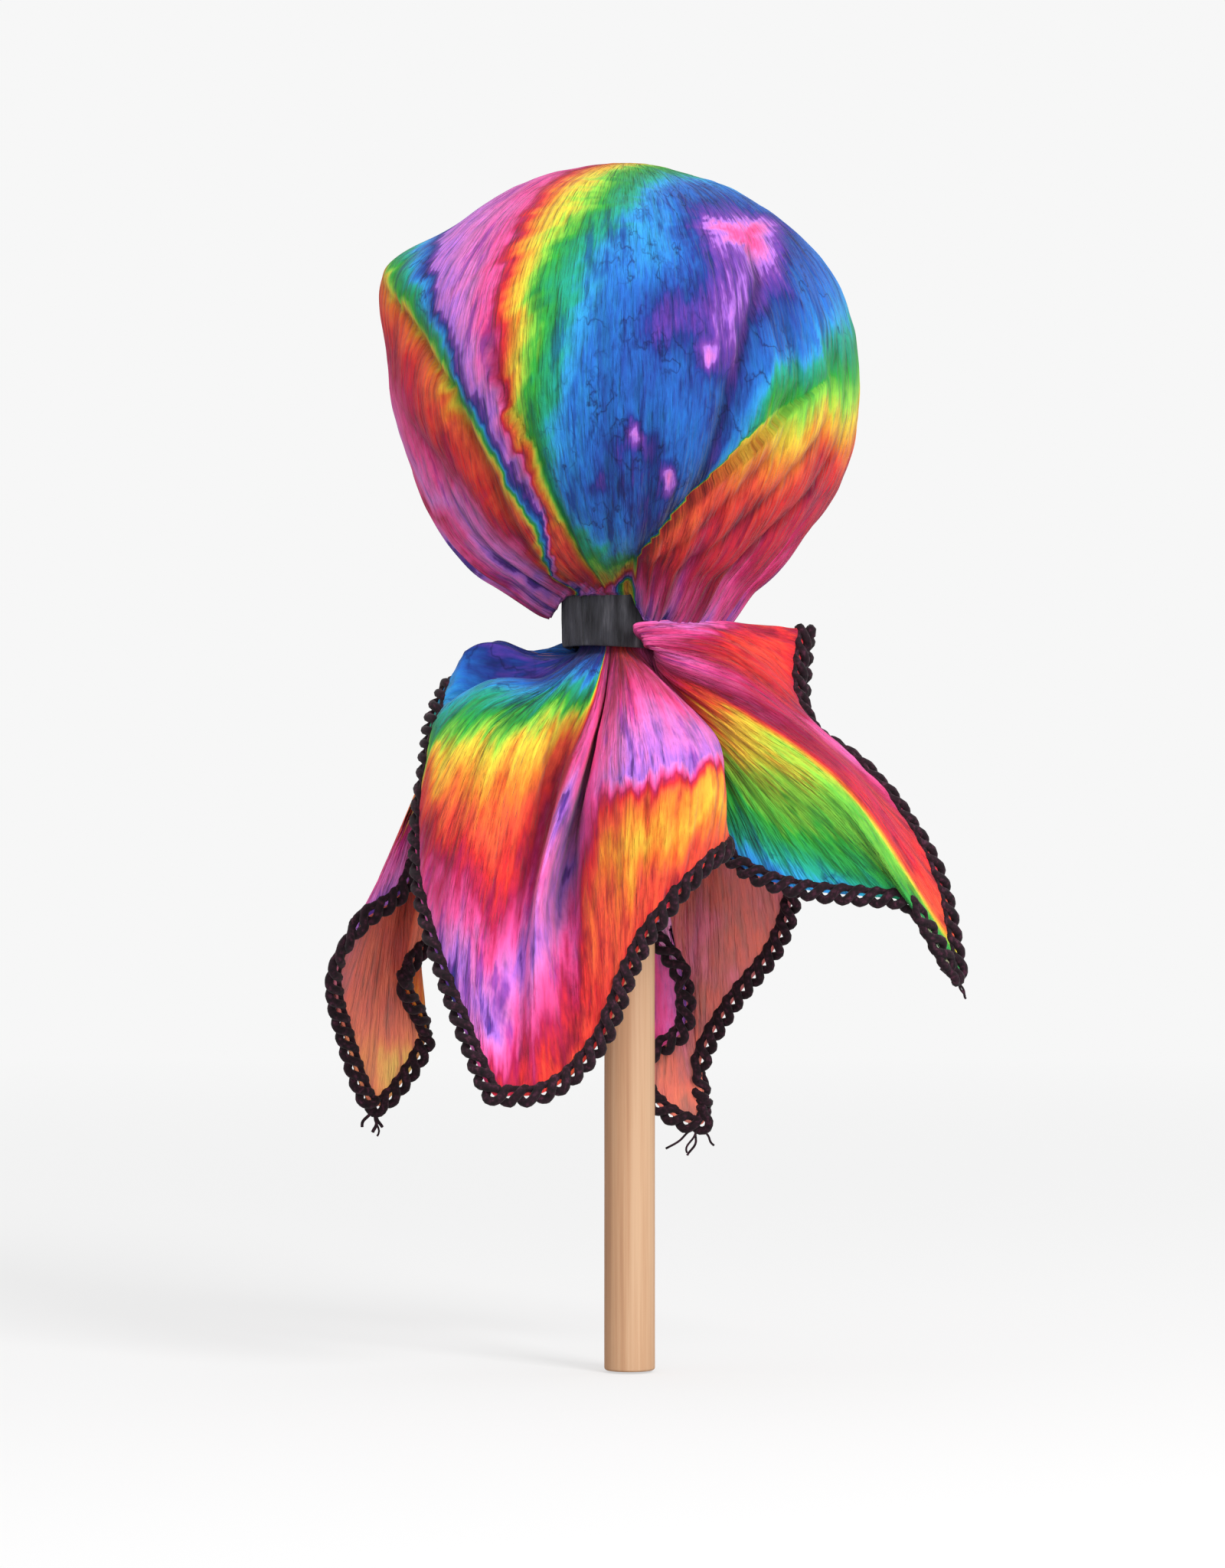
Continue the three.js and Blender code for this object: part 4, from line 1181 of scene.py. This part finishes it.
def build_band():
    """An elastic strip wrapped once round the neck, with its end lapped over its start."""
    steps, sides = 420, 24
    turn = BAND_START + np.linspace(0, TAU + BAND_LAP, steps)
    share = np.linspace(0, 1, steps)
    full_turn = TAU / (TAU + BAND_LAP)
    lifted = BAND_LIFT * smoothstep(full_turn - 0.05, full_turn, share)
    ripple = 0.35 * layered_noise(np.stack([turn * 9, turn * 0], -1), 61)
    radius = BAND_RADIUS - BAND_INSET + lifted + ripple
    height = (band_high[2] - band_low[2]) / 2 + BAND_EXTRA
    middle = (band_low[2] + band_high[2]) / 2 + BAND_SHIFT + 0.5 * np.sin(turn * 2)
    out = np.stack([np.cos(turn), np.sin(turn), 0 * turn], -1)
    up = np.repeat([[0.0, 0.0, 1.0]], steps, 0)
    path = out * radius[:, None]
    path[:, 2] = middle
    section = np.arange(sides) * TAU / sides
    flat = np.sign(np.sin(section)) * np.abs(np.sin(section)) ** BAND_SQUARENESS
    thick = np.sign(np.cos(section)) * np.abs(np.cos(section)) ** BAND_SQUARENESS
    place = np.stack(np.broadcast_arrays(turn[:, None] * 14, flat[None, :] * 1.2), -1)
    waves = 0.25 * layered_noise(place, 62)
    outwards = (BAND_HALF_THICKNESS * thick[None, :, None] + waves[..., None]) * out[:, None, :]
    ring = outwards + height * flat[None, :, None] * up[:, None]
    vertices = (path[:, None, :] + ring).reshape(-1, 3)
    _, walls, ends = swept_tube(path, out, up, 1, 1, sides)
    piece = add_mesh("wrapped_neck_band", vertices, [walls, ends], band_material())
    grain = np.stack([np.repeat(turn[:, None] * BAND_RADIUS, sides, 1),
                      np.repeat(flat[None, :] * height, steps, 0)], -1).reshape(-1, 2)
    corners = np.zeros(len(piece.data.loops), np.int32)
    piece.data.loops.foreach_get("vertex_index", corners)
    layer = piece.data.uv_layers.new(name="grain")
    layer.data.foreach_set("uv", (grain[corners] * MM).astype(np.float32).ravel())
    fix_to_wand(piece, "neck_elastic", "neck_band")


def rounded_profile(radius, low, high, rounding):
    """The outline of a rod with rounded rims, as (radius, height) from axis to axis."""
    inner, floor, ceiling = radius - rounding, low + rounding, high - rounding
    turn = np.linspace(0, math.pi / 2, 6)
    bottom = [(inner + rounding * math.sin(t), floor - rounding * math.cos(t)) for t in turn]
    side = [(radius, z) for z in np.linspace(floor, ceiling, 40)[1:-1]]
    top = [(inner + rounding * math.cos(t), ceiling + rounding * math.sin(t)) for t in turn]
    return [(0, low)] + bottom + side + top + [(0, high)]


def build_stick():
    def sand(grid):
        """Slight hand-sanded unevenness."""
        swell = 1 + 0.006 * layered_noise(grid / 22.0, 71)
        grid = grid.copy()
        grid[..., :2] *= swell[..., None]
        return grid

    profile = rounded_profile(DOWEL_RADIUS, dowel_low[2], dowel_high[2], 0.7)
    piece = turned_mesh("handle_stick", profile, 96, wood_material(), ripple=sand)
    fix_to_wand(piece, "dowel_wood", "handle_dowel")


def build_core():
    hole = DOWEL_RADIUS + 0.3
    mouth = -math.acos(hole / CORE_RADIUS)
    arc = [(CORE_RADIUS * math.cos(t), HEAD_CENTRE[2] + CORE_RADIUS * math.sin(t))
           for t in np.linspace(mouth, math.pi / 2, 72)]
    bore = [(0, dowel_high[2] + 0.3), (hole, dowel_high[2] + 0.3)]
    bore += [(hole, z) for z in np.linspace(dowel_high[2] - 2, arc[0][1] + 2, 8)]

    def pores(grid):
        out = grid - HEAD_CENTRE
        return HEAD_CENTRE + out * (1 - 0.004 * np.abs(layered_noise(grid / 2.2, 81))[..., None])

    piece = turned_mesh("foam_ball", bore + arc, 144, foam_material(), ripple=pores)
    fix_to_wand(piece, "core_foam", "head_core")


def build_batting():
    low, high = box_mm("batting_wrap")
    outer_radius = (high[0] - low[0]) / 2
    inner_radius = CORE_RADIUS + 0.6
    opening = low[2] - HEAD_CENTRE[2]
    inner = [(inner_radius * math.cos(t), HEAD_CENTRE[2] + inner_radius * math.sin(t))
             for t in np.linspace(math.pi / 2, math.asin(opening / inner_radius), 50)]
    outer = [(outer_radius * math.cos(t), HEAD_CENTRE[2] + outer_radius * math.sin(t))
             for t in np.linspace(math.asin(opening / outer_radius), math.pi / 2, 60)]

    def fluff(grid):
        """Uneven fill, pressed in wherever the cloth's folds reach it."""
        out = grid - HEAD_CENTRE
        reach = np.linalg.norm(out, axis=-1)
        loose = smoothstep(inner_radius + 0.5, outer_radius, reach)
        reach = reach * (1 - 0.012 * loose * np.abs(layered_noise(grid / 5.0, 91)))
        azimuth = np.degrees(np.arctan2(out[..., 1], out[..., 0])) % 360
        latitude = np.degrees(np.arcsin(np.clip(out[..., 2] / np.linalg.norm(out, axis=-1), -1, 1)))
        cloth_reach = head_radius(azimuth, latitude) + fold_effects(azimuth, latitude)[0]
        pressed = np.minimum(reach, np.maximum(cloth_reach - 3.6, inner_radius - 1.0))
        return HEAD_CENTRE + unit(out) * pressed[..., None]

    piece = turned_mesh("batting_layer", inner + outer, 160, batting_material(), ripple=fluff)
    fix_to_wand(piece, "batting", "batting_wrap")


build_band()
build_stick()
build_core()
build_batting()

# ---------------------------------------------------------------- studio

PAPER = 0.93  # brightness of the backdrop, as the camera sees it
WORLD_LIGHT = 0.8  # brightness of the backdrop as a light
FLOOR_TINT = 0.35  # how much light the floor gives back beside the wand
FLOOR_GLOW = 0.55  # and how bright it is there without any
FLOOR_FADE = (0.35, 1.6)  # metres from the stick between which it turns into backdrop
FLOOR_HALF_WIDTH = 6.0  # metres
FLOOR_GAP = 0.0005  # metres between the floor and the stick's end
AIM = (0, 0, 0.2)  # where the lights point
CAMERA_DISTANCE = 1.4
CAMERA_PLACE = (-0.0043, -CAMERA_DISTANCE, 0.1472)
VIEW_HEIGHT = 0.394  # metres of the wand's plane that fill the picture's height


def seen_or_given(tree, seen, given):
    """A strength that is one value to the camera and another as a light."""
    path = tree.nodes.new("ShaderNodeLightPath")
    mix = tree.nodes.new("ShaderNodeMix")
    tree.links.new(path.outputs["Is Camera Ray"], mix.inputs[0])
    for index, value in ((2, given), (3, seen)):
        if isinstance(value, bpy.types.NodeSocket):
            tree.links.new(value, mix.inputs[index])
        else:
            mix.inputs[index].default_value = value
    return mix.outputs[0]


def floor_material():
    """Pale paper that takes the wand's shadow near it and fades into the backdrop."""
    s = Shader("studio_floor_paper", roughness=1.0)
    s.surface.inputs["Specular IOR Level"].default_value = 0.0
    place = s.node("NewGeometry", {}, "Position")
    away = s.node("VectorMath", {0: place}, "Value", operation="LENGTH")
    share = s.node("MapRange", {"Value": away, "From Min": FLOOR_FADE[0], "From Max": FLOOR_FADE[1]})
    s.colour(s.ramp(share, [(0.0, grey(FLOOR_TINT)), (1.0, grey(0))]))
    glow = s.math("MULTIPLY_ADD", share, PAPER - FLOOR_GLOW, FLOOR_GLOW)
    s.put(s.surface.inputs["Emission Color"], (1, 1, 1, 1))
    s.put(s.surface.inputs["Emission Strength"], seen_or_given(s.tree, glow, 0.15))
    return s.material


def build_floor(size, height):
    mesh = bpy.data.meshes.new("studio_floor")
    corners = [(-size, -size, height), (size, -size, height), (size, size, height), (-size, size, height)]
    mesh.from_pydata(corners, [], [(0, 1, 2, 3)])
    mesh.materials.append(floor_material())
    piece = bpy.data.objects.new("studio_floor", mesh)
    bpy.context.scene.collection.objects.link(piece)


def area_light(name, place, size, power):
    data = bpy.data.lights.new(name, "AREA")
    data.energy = power
    data.size = size
    light = bpy.data.objects.new(name, data)
    light.location = place
    light.rotation_euler = (Vector(AIM) - Vector(place)).to_track_quat("-Z", "Y").to_euler()
    bpy.context.scene.collection.objects.link(light)


def build_studio():
    scene = bpy.context.scene
    build_floor(FLOOR_HALF_WIDTH, dowel_low[2] * MM - FLOOR_GAP)
    world = bpy.data.worlds.new("studio")
    world.use_nodes = True
    background = world.node_tree.nodes["Background"]
    background.inputs["Color"].default_value = (1, 1, 1, 1)
    glow = seen_or_given(world.node_tree, PAPER, WORLD_LIGHT)
    world.node_tree.links.new(glow, background.inputs["Strength"])
    scene.world = world
    area_light("key", (0.75, -1.1, 0.95), size=0.5, power=15)
    area_light("fill", (0.1, -1.5, 0.12), size=0.9, power=9)
    scene.view_settings.view_transform = "Standard"


def build_camera():
    """Level, on the front."""
    data = bpy.data.cameras.new("front_camera")
    data.sensor_fit = "VERTICAL"
    data.sensor_height = 24.0
    data.lens = data.sensor_height * CAMERA_DISTANCE / VIEW_HEIGHT
    data.clip_end = 50.0
    camera = bpy.data.objects.new("front_camera", data)
    camera.location = CAMERA_PLACE
    camera.rotation_euler = (math.pi / 2, 0, 0)
    bpy.context.scene.collection.objects.link(camera)
    bpy.context.scene.camera = camera


build_studio()
build_camera()
